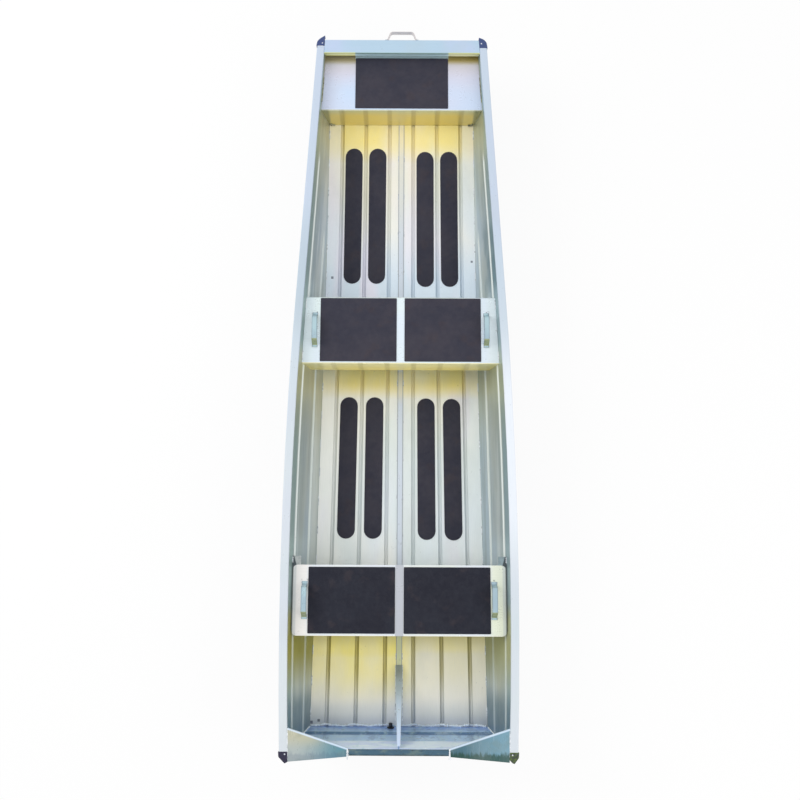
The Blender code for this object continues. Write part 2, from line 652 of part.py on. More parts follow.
def make_pads(material):
    """Flat non-slip pads on the deck, on both seats and, with round ends, on the floor."""
    def slab(name, x0, x1, s0, s1, seat_z):
        outline = rounded_rectangle(x0, x1, s0, s1, PAD_CORNER)
        add_piece(name, raised(outline, seat_z + GAP, PAD_THICK), material)

    start = DECK_AFT + BOW_PAD_SET_BACK
    slab("bow_pad", -BOW_PAD_HALF, BOW_PAD_HALF, start, start + BOW_PAD_LENGTH, DECK_Z)
    for seat, (near, behind, ahead, beside) in SEAT_PADS.items():
        s0, s1 = SEATS[seat][0] + behind, SEATS[seat][1] - ahead
        far = handle_x(seat) - STRAP_WIDTH / 2 - beside
        slab(seat + "_seat_pad_left", -far, -near, s0, s1, SEAT_Z)
        slab(seat + "_seat_pad_right", near, far, s0, s1, SEAT_Z)
    half = FLOOR_PAD_WIDTH / 2
    spans = (("aft", SEATS["aft"][1] + AFT_PAD_SPARE[0], SEATS["mid"][0] - AFT_PAD_SPARE[1]),
             ("fore", SEATS["mid"][1] + FORE_PAD_SPARE[0], DECK_AFT - FORE_PAD_SPARE[1]))
    for group, start, end in spans:
        for number, share in enumerate(LANE_SHARES, 1):
            outline = arc((0, end - half), half, 0, 180, 10) + arc((0, start + half), half, 180, 360, 10)
            outline = [(share * 2 * floor_half(s) + x, s) for x, s in outline]
            add_piece("floor_pad_%s_%d" % (group, number), laid_on_floor(outline, PAD_THICK), material)


def bent_path(corners, radius, steps):
    """Straight runs joined by arcs, as (along, height) points."""
    points = [corners[0]]
    for before, corner, after in zip(corners, corners[1:], corners[2:]):
        into = (Vector(corner) - Vector(before)).normalized()
        out = (Vector(after) - Vector(corner)).normalized()
        turn = into.angle(out)
        back = radius * math.tan(turn / 2)
        start, end = Vector(corner) - into * back, Vector(corner) + out * back
        for k in range(steps + 1):
            share = k / steps
            bend = (1 - share) ** 2 * start + 2 * share * (1 - share) * Vector(corner) + share ** 2 * end
            points.append(tuple(bend))
    return points + [corners[-1]]


def strap_outline():
    """Side view of a handle: a flat strap bent into two feet, two legs and a grip."""
    half_t = STRAP_THICK / 2
    foot, grip = HANDLE_LENGTH / 2, HANDLE_GRIP / 2
    top = HANDLE_HEIGHT - half_t
    path = bent_path([(-foot, half_t), (-grip - HANDLE_LEAN, half_t), (-grip, top),
                      (grip, top), (grip + HANDLE_LEAN, half_t), (foot, half_t)], HANDLE_BEND, 3)
    above, below = [], []
    for k, point in enumerate(path):
        before, after = Vector(path[max(k - 1, 0)]), Vector(path[min(k + 1, len(path) - 1)])
        run = (after - before).normalized()
        normal = Vector((-run.y, run.x))
        above.append(Vector(point) + normal * half_t)
        below.append(Vector(point) - normal * half_t)
    return above + below[::-1]


def make_handles(material):
    outline = strap_outline()
    half = STRAP_WIDTH / 2
    base = SEAT_Z + GAP
    for seat, (s0, s1) in SEATS.items():
        middle = (s0 + s1) / 2
        for name, side in SIDES:
            sections = [[at(side * handle_x(seat) + dx, middle + p.x, base + p.y) for p in outline]
                        for dx in (-half, half)]
            smooth(add_piece("handle_%s_%s" % (seat, name), loft(sections), material), 35)
    height = DEPTH - BOW_HANDLE_DROP
    sections = [[at(p.x, HULL_LENGTH + GAP + p.y, height + dz) for p in outline] for dz in (-half, half)]
    smooth(add_piece("handle_bow", loft(sections), material), 35)


def build():
    clear_scene()
    sheet = finish("bright_sheet", (0.74, 0.77, 0.79), 0.32, 1.0)
    extrusion = finish("extrusion", (0.78, 0.80, 0.82), 0.38, 1.0)
    dark_cap = finish("transom_strip", (0.16, 0.19, 0.22), 0.45, 0.6)
    foam = finish("black_pad", (0.055, 0.052, 0.062), 0.85, 0.0)
    plastic = finish("black_plastic", (0.045, 0.040, 0.055), 0.40, 0.0)
    make_bottom(sheet)
    make_sides(sheet)
    make_gunwales(extrusion)
    make_bow(sheet)
    make_corner_caps(plastic)
    make_transom(sheet, sheet, dark_cap)
    make_transom_plates(sheet)
    make_knee(sheet)
    make_drain_plug(plastic)
    make_keelson(sheet)
    make_bow_deck(sheet)
    make_mid_seat(sheet)
    make_aft_seat(sheet)
    make_brackets(sheet)
    make_pads(foam)
    make_handles(extrusion)


build()
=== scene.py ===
import math
import random

import bmesh
import bpy
from mathutils import Matrix, Vector


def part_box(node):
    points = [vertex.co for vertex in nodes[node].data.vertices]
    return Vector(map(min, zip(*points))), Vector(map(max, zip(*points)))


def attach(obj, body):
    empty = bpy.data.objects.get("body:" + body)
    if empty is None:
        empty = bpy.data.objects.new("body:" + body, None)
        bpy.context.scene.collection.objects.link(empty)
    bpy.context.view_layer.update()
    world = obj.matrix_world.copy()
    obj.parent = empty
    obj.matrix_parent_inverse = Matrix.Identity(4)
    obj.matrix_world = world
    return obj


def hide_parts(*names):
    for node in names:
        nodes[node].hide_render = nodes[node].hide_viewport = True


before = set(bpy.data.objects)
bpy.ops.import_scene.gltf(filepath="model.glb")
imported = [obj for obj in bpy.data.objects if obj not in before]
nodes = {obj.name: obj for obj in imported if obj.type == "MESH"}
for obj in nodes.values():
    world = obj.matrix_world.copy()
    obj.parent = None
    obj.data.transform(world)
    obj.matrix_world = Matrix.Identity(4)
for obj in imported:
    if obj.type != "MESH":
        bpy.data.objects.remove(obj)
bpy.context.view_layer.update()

random.seed(12)

# Hull bottom. One wide sheet of rolled aluminium with six strakes pressed along it, bright on the
# flats and duller in the grooves, where painted shade lies, most of it in the aft bay. Painted warm
# light lies on it behind the deck and behind each seat, with painted shade along the foot of the aft seat.

STERN_Y = -1.84215           # y of the stern's aft edge, from which s is measured forwards
FLOOR_STERN_HALF = 0.450     # half the floor's width at the stern
FLOOR_HALF_TAPER = 0.01805   # what that half loses per metre forwards
FLOOR_Z = 0.0165             # height of the floor's flats
RISE_FROM = 1.745            # s from which the floor sweeps up on an arc
RISE_RADIUS = 6.8
GROOVE_STEP = 0.163          # distance between two strakes as a share of the floor's width
LENGTHWISE = (60, 1.6, 60)   # grain of sheet that was rolled along the boat
CROSSWISE = (1.6, 60, 60)    # grain of sheet that was rolled across it


def tint(red, green, blue):
    """A colour from screen values up to 255."""
    def linear(value):
        share = value / 255
        return share / 12.92 if share <= 0.04045 else ((share + 0.055) / 1.055) ** 2.4
    return linear(red), linear(green), linear(blue)


class Finish:
    """A surface being made up: its material, its shader, and nodes that read the piece's own coordinates."""

    def __init__(self, name, colour, roughness, metallic, specular=0.5):
        self.material = bpy.data.materials.new(name)
        self.material.use_nodes = True
        self.tree = self.material.node_tree
        self.shader = self.tree.nodes["Principled BSDF"]
        self.rough = roughness
        self.shader.inputs["Base Color"].default_value = (*colour, 1)
        self.shader.inputs["Roughness"].default_value = roughness
        self.shader.inputs["Metallic"].default_value = metallic
        self.shader.inputs["Specular IOR Level"].default_value = specular
        texture = self.tree.nodes.new("ShaderNodeTexCoord")
        self.place = texture.outputs["Object"]
        self.x, self.y, self.z = self.split(self.place)
        self.facing = self.split(texture.outputs["Normal"])

    def join(self, source, socket):
        """Puts another node's output, a number or a colour into a socket."""
        if isinstance(source, bpy.types.NodeSocket):
            self.tree.links.new(source, socket)
        elif isinstance(source, (int, float)):
            socket.default_value = source
        else:
            socket.default_value = (*source, 1)

    def split(self, vector):
        parts = self.tree.nodes.new("ShaderNodeSeparateXYZ")
        self.tree.links.new(vector, parts.inputs[0])
        return parts.outputs

    def sum(self, operation, a, b=0.0):
        """One step of arithmetic on two numbers."""
        step = self.tree.nodes.new("ShaderNodeMath")
        step.operation = operation
        self.join(a, step.inputs[0])
        self.join(b, step.inputs[1])
        return step.outputs[0]

    def both(self, *shares):
        """The product of several shares."""
        product = shares[0]
        for share in shares[1:]:
            product = self.sum("MULTIPLY", product, share)
        return product

    def either(self, *shares):
        """The largest of several shares."""
        largest = shares[0]
        for share in shares[1:]:
            largest = self.sum("MAXIMUM", largest, share)
        return largest

    def span(self, source, low, high, start=0.0, end=1.0):
        """A soft step in the source between low and high, as a value from start to end."""
        step = self.tree.nodes.new("ShaderNodeMapRange")
        step.interpolation_type = "SMOOTHSTEP"
        self.tree.links.new(source, step.inputs["Value"])
        for name, value in (("From Min", low), ("From Max", high), ("To Min", start), ("To Max", end)):
            step.inputs[name].default_value = value
        return step.outputs["Result"]

    def band(self, source, middle, half, fade):
        """1 within half of the middle, fading to 0."""
        distance = self.sum("ABSOLUTE", self.sum("SUBTRACT", source, middle))
        return self.span(distance, half, half + fade, 1.0, 0.0)

    def stretched(self, stretch):
        """The piece's coordinates, each multiplied by its own figure."""
        turn = self.tree.nodes.new("ShaderNodeMapping")
        turn.inputs["Scale"].default_value = stretch
        self.tree.links.new(self.place, turn.inputs["Vector"])
        return turn.outputs[0]

    def noise(self, scale, detail=3.0, stretch=(1, 1, 1), rough=0.5):
        """Cloudy noise, drawn out along the axes that have a small figure."""
        cloud = self.tree.nodes.new("ShaderNodeTexNoise")
        for name, value in (("Scale", scale), ("Detail", detail), ("Roughness", rough)):
            cloud.inputs[name].default_value = value
        self.tree.links.new(self.stretched(stretch), cloud.inputs["Vector"])
        return cloud.outputs["Fac"]

    def patches(self, scale, detail, low, high, share=1.0, stretch=(1, 1, 1), rough=0.5):
        """Cloudy patches, from 0 to share, whose edges lie between two levels of the noise."""
        return self.span(self.noise(scale, detail, stretch, rough), low, high, 0.0, share)

    def shine(self, scale, low, high, detail=2.0):
        """Roughness that wavers between low and high."""
        return self.span(self.noise(scale, detail), 0.3, 0.7, low, high)

    def cells(self, scale, stretch=(1, 1, 1)):
        """Distance to the nearest of many scattered points."""
        voronoi = self.tree.nodes.new("ShaderNodeTexVoronoi")
        voronoi.inputs["Scale"].default_value = scale
        self.tree.links.new(self.stretched(stretch), voronoi.inputs["Vector"])
        return voronoi.outputs["Distance"]

    def mix(self, share, under, over):
        """Two colours mixed by a share."""
        step = self.tree.nodes.new("ShaderNodeMix")
        step.data_type = "RGBA"
        colours = [socket for socket in step.inputs if socket.type == "RGBA"]
        self.join(share, step.inputs[0])
        self.join(under, colours[0])
        self.join(over, colours[1])
        return [socket for socket in step.outputs if socket.type == "RGBA"][0]

    def layers(self, colour, *coats):
        """A colour with coats laid over it in turn, each given as its share and its own colour."""
        for share, over in coats:
            colour = self.mix(share, colour, over)
        return colour

    def left_right(self, left, right):
        """One colour on the boat's left half and another on its right half."""
        return self.mix(self.span(self.x, -0.1, 0.1), left, right)

    def relief(self, height, depth, strength=1.0):
        """Fine relief of a height from 0 to 1, as deep as a number of metres."""
        bump = self.tree.nodes.new("ShaderNodeBump")
        bump.inputs["Distance"].default_value = depth
        bump.inputs["Strength"].default_value = strength
        self.tree.links.new(height, bump.inputs["Height"])
        self.tree.links.new(bump.outputs[0], self.shader.inputs["Normal"])

    def show(self, colour, roughness):
        """Puts the finished colour and roughness into the shader."""
        self.tree.links.new(colour, self.shader.inputs["Base Color"])
        self.tree.links.new(roughness, self.shader.inputs["Roughness"])


def mill_finish(finish, colour, along=LENGTHWISE, polish=None, wear=1.0):
    """Rolled sheet: fine grain along its length, clouds of oxide, a few long scratches and small specks."""
    grain = finish.noise(9.0, 4.0, along, 0.6)
    cloud = finish.noise(4.5, 4.0, (1, 0.6, 1), 0.6)
    blotch = finish.noise(24.0, 3.0, (1, 0.5, 1), 0.7)
    scratch = finish.noise(5.0, 2.0, tuple(value * 1.6 for value in along), 0.4)
    specks = finish.both(finish.span(finish.cells(38.0), 0.06, 0.10, 1.0, 0.0),
                         finish.patches(7.0, 2.0, 0.52, 0.60))
    colour = finish.layers(
        colour,
        (finish.span(grain, 0.32, 0.72, 0.0, 0.07 * wear), tint(150, 160, 172)),
        (finish.span(cloud, 0.50, 0.75, 0.0, 0.18 * wear), tint(190, 196, 194)),
        (finish.span(scratch, 0.70, 0.75, 0.0, 0.25 * wear), tint(240, 244, 250)),
        (finish.both(specks, 0.35 * wear), tint(120, 126, 130)))
    rough = finish.sum("ADD", finish.span(blotch, 0.3, 0.7, -0.03, 0.06),
                       finish.span(grain, 0.3, 0.7, 0.0, 0.05))
    rough = finish.sum("ADD", rough, finish.rough)
    if polish is not None:
        rough = finish.sum("SUBTRACT", rough, polish)
    finish.show(colour, finish.sum("MAXIMUM", rough, 0.05))
    finish.relief(finish.sum("ADD", grain, scratch), 0.00003, 0.4)


def dress(finish, *names):
    """Gives a finish to parts that keep the shape they came with."""
    for name in names:
        nodes[name].data.materials.clear()
        nodes[name].data.materials.append(finish.material)


def floor_half(s):
    """Half the floor's width at a place along the boat."""
    return FLOOR_STERN_HALF - FLOOR_HALF_TAPER * s


def floor_z(s):
    """Height of the floor's flats at a place along the boat."""
    run = max(0.0, s - RISE_FROM)
    return FLOOR_Z + RISE_RADIUS - math.sqrt(RISE_RADIUS ** 2 - run ** 2)


def warm_light(finish, rise, tail, faint, end=None):
    """Light that rises forwards between two places, with a faint tail behind it, and stops at its end."""
    light = finish.either(finish.span(finish.y, *rise), finish.span(finish.y, *tail, 0.0, faint))
    return finish.both(light, finish.span(finish.y, *end, 1.0, 0.0)) if end else light


FLOOR_PALE = tint(250, 250, 244)
FLOOR_COOL = tint(226, 240, 252)
FLOOR_MINT = tint(229, 238, 236)
FLOOR_LILAC = tint(242, 238, 250)
FLOOR_CREAM = tint(246, 244, 236)
FLOOR_GOLD = tint(255, 236, 148)
FLOOR_DEEP_GOLD = tint(255, 240, 136)
FLOOR_SHADE_OLIVE = tint(205, 192, 120)
FLOOR_METAL = 0.35
FLANK = (0.405, 0.425)       # where the gold weakens towards the sides, as shares of the floor's width
SPOTS = ((-0.441, -1.712, 0.006), (-0.404, -1.703, 0.005), (-0.372, 0.610, 0.005), (0.384, 0.700, 0.004))

floor = Finish("floor_sheet", FLOOR_PALE, 0.30, FLOOR_METAL)
width = floor.sum("ADD", floor.sum("MULTIPLY", floor.y, -2 * FLOOR_HALF_TAPER),
                  2 * (FLOOR_STERN_HALF + FLOOR_HALF_TAPER * STERN_Y))
across = floor.sum("DIVIDE", floor.sum("ABSOLUTE", floor.x), width)
lane = floor.sum("FRACT", floor.sum("DIVIDE", across, GROOVE_STEP))
groove = floor.both(floor.band(lane, 0.5, 0.045, 0.05), floor.span(across, 0.43, 0.45, 1.0, 0.0))
fore_bay = floor.both(floor.span(floor.y, 0.95, 0.55), floor.span(floor.y, 0.10, 0.40))
mint = floor.both(floor.span(floor.y, 0.0, -0.3), floor.span(floor.y, -1.20, -1.0),
                  floor.span(floor.noise(2.0, 2.0, (1.2, 0.6, 1)), 0.40, 0.62, 0.15, 0.9))
patchy = floor.span(floor.noise(3.2, 3.0, (1.5, 0.7, 1)), 0.30, 0.60, 0.65, 1.0)
# Painted warm light: behind the deck, behind the mid seat and in the aft bay, stronger on the left there.
warm_light_fore = warm_light(floor, (1.14, 1.36), (0.70, 1.25), 0.35)
warm_light_mid = warm_light(floor, (-0.08, 0.03), (-0.50, 0.0), 0.14, (0.12, 0.16))
left_more = floor.either(floor.span(floor.x, 0.0, 0.10, 1.0, 0.38),
                         floor.span(floor.y, -1.42, -1.34, 0.0, 0.62))
warm_light_aft = floor.both(warm_light(floor, (-1.48, -1.36), (-1.68, -1.42), 0.78, (-1.20, -1.16)), left_more)
# Painted shade, yellow-green, along the foot of the aft seat.
aft_seat_shade = floor.both(floor.span(floor.y, -1.36, -1.28, 0.0, 0.5), floor.span(floor.y, -1.24, -1.20, 1.0, 0.0))
# Painted shade in the grooves: grey, yellow-green where the warm light lies, strongest in the aft bay.
groove_shade = floor.both(groove, floor.span(floor.y, -1.0, -1.3, 0.22, 0.60),
                    floor.span(floor.y, -1.42, -1.60, 1.0, 0.5))
groove_shade_tint = floor.mix(floor.both(floor.span(floor.y, -1.20, -1.24), floor.span(floor.y, -1.62, -1.45)),
                 tint(168, 174, 180), tint(166, 158, 92))
above = floor.layers(
    FLOOR_PALE,
    (floor.either(fore_bay, floor.patches(1.5, 2.0, 0.46, 0.62, 0.7, (1.6, 0.5, 1))), FLOOR_COOL),
    (floor.patches(2.3, 2.0, 0.52, 0.66, 0.8, (2.2, 0.4, 1)), FLOOR_LILAC),
    (mint, FLOOR_MINT),
    (floor.span(floor.y, -1.10, -1.25), FLOOR_CREAM),
    (floor.both(floor.either(warm_light_fore, warm_light_mid), patchy, floor.span(across, *FLANK, 1.0, 0.55)),
     FLOOR_GOLD),
    (floor.both(warm_light_aft, patchy, floor.span(across, *FLANK, 1.0, 0.8)), FLOOR_DEEP_GOLD),
    (floor.span(floor.y, -1.58, -1.68, 0.0, 0.7), tint(210, 216, 216)),
    (floor.span(floor.y, -1.66, -1.72, 0.0, 0.7), tint(186, 194, 206)),
    (aft_seat_shade, FLOOR_SHADE_OLIVE),
    (groove_shade, groove_shade_tint))
for spot_x, spot_y, radius in SPOTS:
    speck = floor.both(floor.band(floor.x, spot_x, radius, 0.003), floor.band(floor.y, spot_y, radius, 0.003))
    above = floor.mix(floor.both(speck, 0.75), above, tint(52, 60, 84))
below = floor.mix(floor.patches(7.0, 4.0, 0.52, 0.68, 0.6, (1, 0.15, 1), 0.7),
                  tint(168, 176, 184), tint(206, 212, 218))
mill_finish(floor, floor.mix(floor.span(floor.facing[2], -0.2, 0.2), below, above))
dress(floor, "hull_bottom")

# Side sheets. Each is one flared sheet, 2 mm thick, stiffened by two long beads pressed outwards,
# stitch-welded to the bottom along the inner corner and closed on top by the gunwale.

LOW_BEAD_Z = 0.135
HIGH_BEAD_Z = 0.328
STITCH = 0.045               # length of one stitch of weld
STITCH_STEP = 0.152          # from the start of one stitch to the next


def add_piece(name, bm, finish, stands_for=(), sharp=35):
    """Turns a finished bmesh into a piece of the hull, in place of any parts it stands for."""
    bmesh.ops.recalc_face_normals(bm, faces=bm.faces)
    mesh = bpy.data.meshes.new(name)
    bm.to_mesh(mesh)
    bm.free()
    mesh.materials.append(finish.material)
    mesh.shade_smooth()
    mesh.set_sharp_from_angle(angle=math.radians(sharp))
    piece = bpy.data.objects.new(name, mesh)
    bpy.context.scene.collection.objects.link(piece)
    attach(piece, "root")
    if stands_for:
        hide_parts(*stands_for)
    return piece


def lay_weld(bm, points, width=0.006, rise=0.0030, pitch=0.0042, uneven=0.18):
    """Lays one run of weld along some points, as ripples that overlap like fish scales."""
    ripples = bmesh.new()
    for start, end in zip(points, points[1:]):
        run = end - start
        steps = max(1, round(run.length / pitch))
        turn = run.to_track_quat("X", "Z").to_matrix().to_4x4()
        for step in range(steps):
            swell = 1 + random.uniform(-uneven, uneven)
            size = Matrix.Diagonal((pitch * 0.85, width / 2 * swell, rise / 2 * swell, 1))
            spot = Matrix.Translation(start + run * ((step + 0.5) / steps))
            bmesh.ops.create_uvsphere(ripples, u_segments=8, v_segments=5, radius=1,
                                      matrix=spot @ turn @ size)
    run_mesh = bpy.data.meshes.new("run_of_weld")
    ripples.to_mesh(run_mesh)
    ripples.free()
    bm.from_mesh(run_mesh)
    bpy.data.meshes.remove(run_mesh)


def weld_metal(name, base, roughness, metallic, speckle, pale, dark, shine):
    """Weld metal: two tones in small patches, and a fine grain."""
    finish = Finish(name, base, roughness, metallic)
    finish.show(finish.mix(finish.patches(*speckle), pale, dark), finish.shine(90.0, *shine))
    finish.relief(finish.noise(400.0, 2.0), 0.0002, 0.5)
    return finish


def at(x, s, z):
    """A place in the boat, with s measured forwards from the stern."""
    return Vector((x, s + STERN_Y, z))


def stitches(start, end, step):
    """The places where the stitches along a seam begin."""
    s = start
    while s < end:
        yield s
        s += step


side = Finish("side_sheet", tint(160, 166, 160), 0.34, 0.35)
inner = side.span(side.both(side.x, side.facing[0]), -0.02, 0.02, 1.0, 0.0)
streaks = side.noise(13.0, 3.0, (1.0, 0.045, 1.0), 0.6)
teal = side.both(side.span(side.x, 0.0, 0.1), side.band(side.y, 0.64, 0.10, 0.16),
                 side.patches(7.0, 2.0, 0.42, 0.62, 1.0, (1, 0.6, 1)), side.span(side.z, 0.16, 0.26), 0.6)
# Painted warm reflection of the lit floor on the inner walls: beside the deck, the mid seat and the aft seat.
wall_warm_reflection_fore = side.both(
    side.either(side.span(side.y, 1.16, 1.42, 0.0, 0.85), side.span(side.y, 0.85, 1.20, 0.0, 0.25)),
    side.span(side.z, 0.385, 0.375), side.span(side.noise(5.0, 3.0, (1, 0.5, 1)), 0.25, 0.60, 0.6, 1.0))
wall_warm_reflection_mid = side.both(side.span(side.y, -0.40, 0.0, 0.0, 0.55), side.span(side.y, 0.08, 0.20, 1.0, 0.0))
wall_warm_reflection_aft = side.both(side.span(side.y, -1.58, -1.34), side.span(side.y, -1.20, -1.10, 1.0, 0.0))
# Painted highlights along both beads; they stop where the beads run out towards the bow and are weaker in the
# aft bay.
low_bead_highlight = side.both(side.band(side.z, LOW_BEAD_Z + 0.004, 0.009, 0.013),
                     side.span(side.y, 0.78, 0.86, 1.0, 0.0))
high_bead_highlight = side.both(side.band(side.z, HIGH_BEAD_Z, 0.008, 0.012), side.span(side.y, 1.15, 1.23, 1.0, 0.0))
lines = side.both(side.either(low_bead_highlight, high_bead_highlight), side.span(side.y, -1.30, -1.22, 0.45, 0.95))
wall = side.layers(
    tint(194, 200, 192),
    (side.patches(2.4, 3.0, 0.35, 0.65, 1.0, (1, 0.6, 2)), tint(180, 196, 206)),
    (side.span(side.z, 0.18, 0.30, 0.0, 0.6), tint(166, 182, 184)),
    (side.span(streaks, 0.53, 0.62, 0.0, 0.5), tint(224, 230, 228)),
    (side.span(streaks, 0.46, 0.37, 0.0, 0.5), tint(146, 160, 160)),
    # Painted shade under the gunwale's lip, on the strip above the upper bead.
    (side.span(side.z, HIGH_BEAD_Z + 0.014, HIGH_BEAD_Z + 0.026, 0.0, 0.85),
     side.left_right(tint(150, 174, 170), tint(148, 174, 180))),
    (teal, tint(96, 130, 142)),
    (side.either(wall_warm_reflection_fore, wall_warm_reflection_mid), side.left_right(tint(196, 188, 140), tint(180, 184, 150))),
    (wall_warm_reflection_aft, side.left_right(tint(150, 148, 76), tint(176, 180, 138))),
    (side.span(side.y, -1.50, -1.62, 0.0, 0.8), tint(92, 122, 136)),
    (lines, tint(240, 247, 244)))
rubbed = side.both(side.span(side.z, 0.16, 0.02),
                   side.patches(30.0, 4.0, 0.50, 0.66, 1.0, (1, 0.12, 1), 0.7), 0.7)
outside = side.layers(
    tint(164, 173, 184),
    (side.patches(5.0, 4.0, 0.38, 0.66, 1.0, (1, 0.08, 1), 0.6), tint(202, 209, 218)),
    (rubbed, tint(126, 132, 138)))
mill_finish(side, side.mix(inner, outside, wall))
dress(side, "hull_side_left", "hull_side_right")

weld = weld_metal("weld_metal", tint(232, 236, 240), 0.34, 0.3, (60.0, 3.0, 0.40, 0.72),
                  tint(236, 240, 244), tint(186, 192, 198), (0.22, 0.42))
for name, turn in (("left", -1), ("right", 1)):
    bm = bmesh.new()
    for s in stitches(0.16, 3.50, STITCH_STEP):
        lay_weld(bm, [at(turn * (floor_half(s + reach) - 0.0016), s + reach, floor_z(s + reach) + 0.0006)
                      for reach in (0.0, STITCH / 2, STITCH)])
    add_piece("chine_welds_" + name, bm, weld)

# Bow panel. A raked plate closes the front of the hull, welded to the floor and both sides. Seen from
# above, its inner face carries a painted reflection of the deck: pale in the middle, over the pad, and
# yellow at both ends.

BOW_PAD_HALF = 0.243         # half the width of the pad on the deck

panel = Finish("bow_panel_sheet", tint(200, 212, 228), 0.30, 0.3)
inside = panel.span(panel.facing[1], -0.2, 0.2, 1.0, 0.0)
# Painted reflection of the deck and its pad on the inner face.
face = panel.mix(panel.band(panel.x, 0.0, BOW_PAD_HALF, 0.006), tint(216, 214, 150), tint(200, 232, 240))
mill_finish(panel, panel.mix(inside, tint(200, 212, 228), face))
dress(panel, "bow_panel")

# Transom. The skin is one raked sheet with a long pressed bead. A thick board stands behind it, two
# bright plates double it high up inside, and a dark strip is folded over the top where a motor clamps.

TRANSOM_FOOT = 0.111         # s of the inner face at the floor
TRANSOM_RAKE = 0.1853        # how far it leans aft per metre of height
TRANSOM_BEAD_Z = 0.124
SIDE_FLARE = 0.190           # how far a side sheet leans out per metre of height
FOOT_WELD_HALF = 0.440
FOOT_WELD_STEPS = 120
BOARD_TINT = tint(196, 204, 214)


def transom_s(z):
    """The transom's inner face, which leans aft as it climbs."""
    return TRANSOM_FOOT - TRANSOM_RAKE * (z - FLOOR_Z)


def foot_point(x):
    """A place on the weld along the transom's foot, which is wavy and dips into the strakes."""
    lane = abs(x) / (2 * floor_half(TRANSOM_FOOT)) / GROOVE_STEP
    in_groove = abs(lane - math.floor(lane) - 0.5) < 0.065 and lane < 2.8
    lift = -0.004 if in_groove else 0.0022 + 0.0016 * math.sin(x * 61) + 0.0012 * math.sin(x * 143 + 1)
    fore = 0.0055 - 0.0030 * math.cos(lane * math.tau) + 0.0012 * math.sin(x * 97)
    return at(x, TRANSOM_FOOT + 0.0012 + fore, FLOOR_Z + lift)


transom = Finish("transom_sheet", tint(160, 184, 208), 0.28, 0.5)
skin = transom.layers(
    tint(184, 218, 255),
    # Painted shade along the pressed bead.
    (transom.band(transom.z, TRANSOM_BEAD_Z, 0.020, 0.008), tint(112, 148, 196)),
    (transom.span(transom.z, 0.085, 0.06), tint(156, 188, 242)),
    (transom.patches(9.0, 4.0, 0.50, 0.64, 0.4, (1, 1, 2.5)), tint(214, 236, 255)),
    (transom.patches(20.0, 3.0, 0.52, 0.66, 0.45, (1, 1, 0.25), 0.6), tint(206, 236, 250)),
    (transom.patches(15.0, 4.0, 0.46, 0.34, 0.40, (1, 1, 0.6), 0.6), tint(96, 122, 172)))
inside = transom.span(transom.facing[1], -0.2, 0.2)
mill_finish(transom, transom.mix(inside, tint(198, 206, 216), skin), CROSSWISE)
dress(transom, "transom")

doubler = Finish("transom_plates", tint(204, 224, 255), 0.30, 0.0)
tone = doubler.layers(
    tint(226, 242, 255),
    (doubler.patches(7.0, 3.0, 0.42, 0.60, 1.0, (1, 1, 3)), tint(210, 226, 255)),
    (doubler.patches(26.0, 3.0, 0.54, 0.66, 0.5, (1, 1, 0.3), 0.6), tint(188, 222, 236)))
mill_finish(doubler, tone, CROSSWISE, wear=0.3)
dress(doubler, "transom_doubler_left", "transom_doubler_right")

board = Finish("transom_board_sheet", BOARD_TINT, 0.28, 0.8)
mill_finish(board, BOARD_TINT, CROSSWISE)
dress(board, "transom_board")

strip = Finish("transom_strip", tint(84, 114, 132), 0.36, 0.3)
ragged = strip.sum("ADD", strip.y, strip.both(strip.noise(70.0, 4.0, (0.5, 1, 1)), 0.016))
colour = strip.layers(
    tint(66, 98, 118),
    (strip.patches(26.0, 4.0, 0.48, 0.66, 1.0, (0.5, 1, 1), 0.7), tint(98, 120, 122)),
    (strip.patches(70.0, 3.0, 0.62, 0.70, 0.8), tint(62, 58, 44)),
    (strip.span(ragged, STERN_Y + 0.0365, STERN_Y + 0.0290, 0.0, 0.8), tint(34, 54, 52)))
strip.show(colour, strip.shine(40.0, 0.28, 0.55, 3.0))
strip.relief(strip.noise(180.0, 3.0, (0.4, 1, 1)), 0.0003, 0.6)
dress(strip, "transom_cap")

bright_weld = weld_metal("bright_weld", tint(236, 246, 255), 0.34, 0.2, (50.0, 3.0, 0.62, 0.80),
                         tint(236, 246, 255), tint(206, 218, 240), (0.22, 0.42))
bm = bmesh.new()
lay_weld(bm, [foot_point(-FOOT_WELD_HALF + 2 * FOOT_WELD_HALF * step / FOOT_WELD_STEPS)
              for step in range(FOOT_WELD_STEPS + 1)], width=0.0120, rise=0.009, pitch=0.0055, uneven=0.45)
for turn in (-1, 1):
    lay_weld(bm, [at(turn * (floor_half(0.1) + (z - FLOOR_Z) * SIDE_FLARE - 0.003), transom_s(z) + 0.003, z)
                  for z in (0.030, 0.12, 0.22, 0.32)], width=0.007, rise=0.004, pitch=0.006)
add_piece("transom_welds", bm, bright_weld)

# Gunwales. A 40 mm channel of extruded aluminium caps each side sheet, mill bright with a blue cast
# that is stronger towards the bow, with a lighter patch on the right aft of amidships and a darker one
# on the left forward of it.

GUNWALE_GRAIN = (80, 1.2, 80)

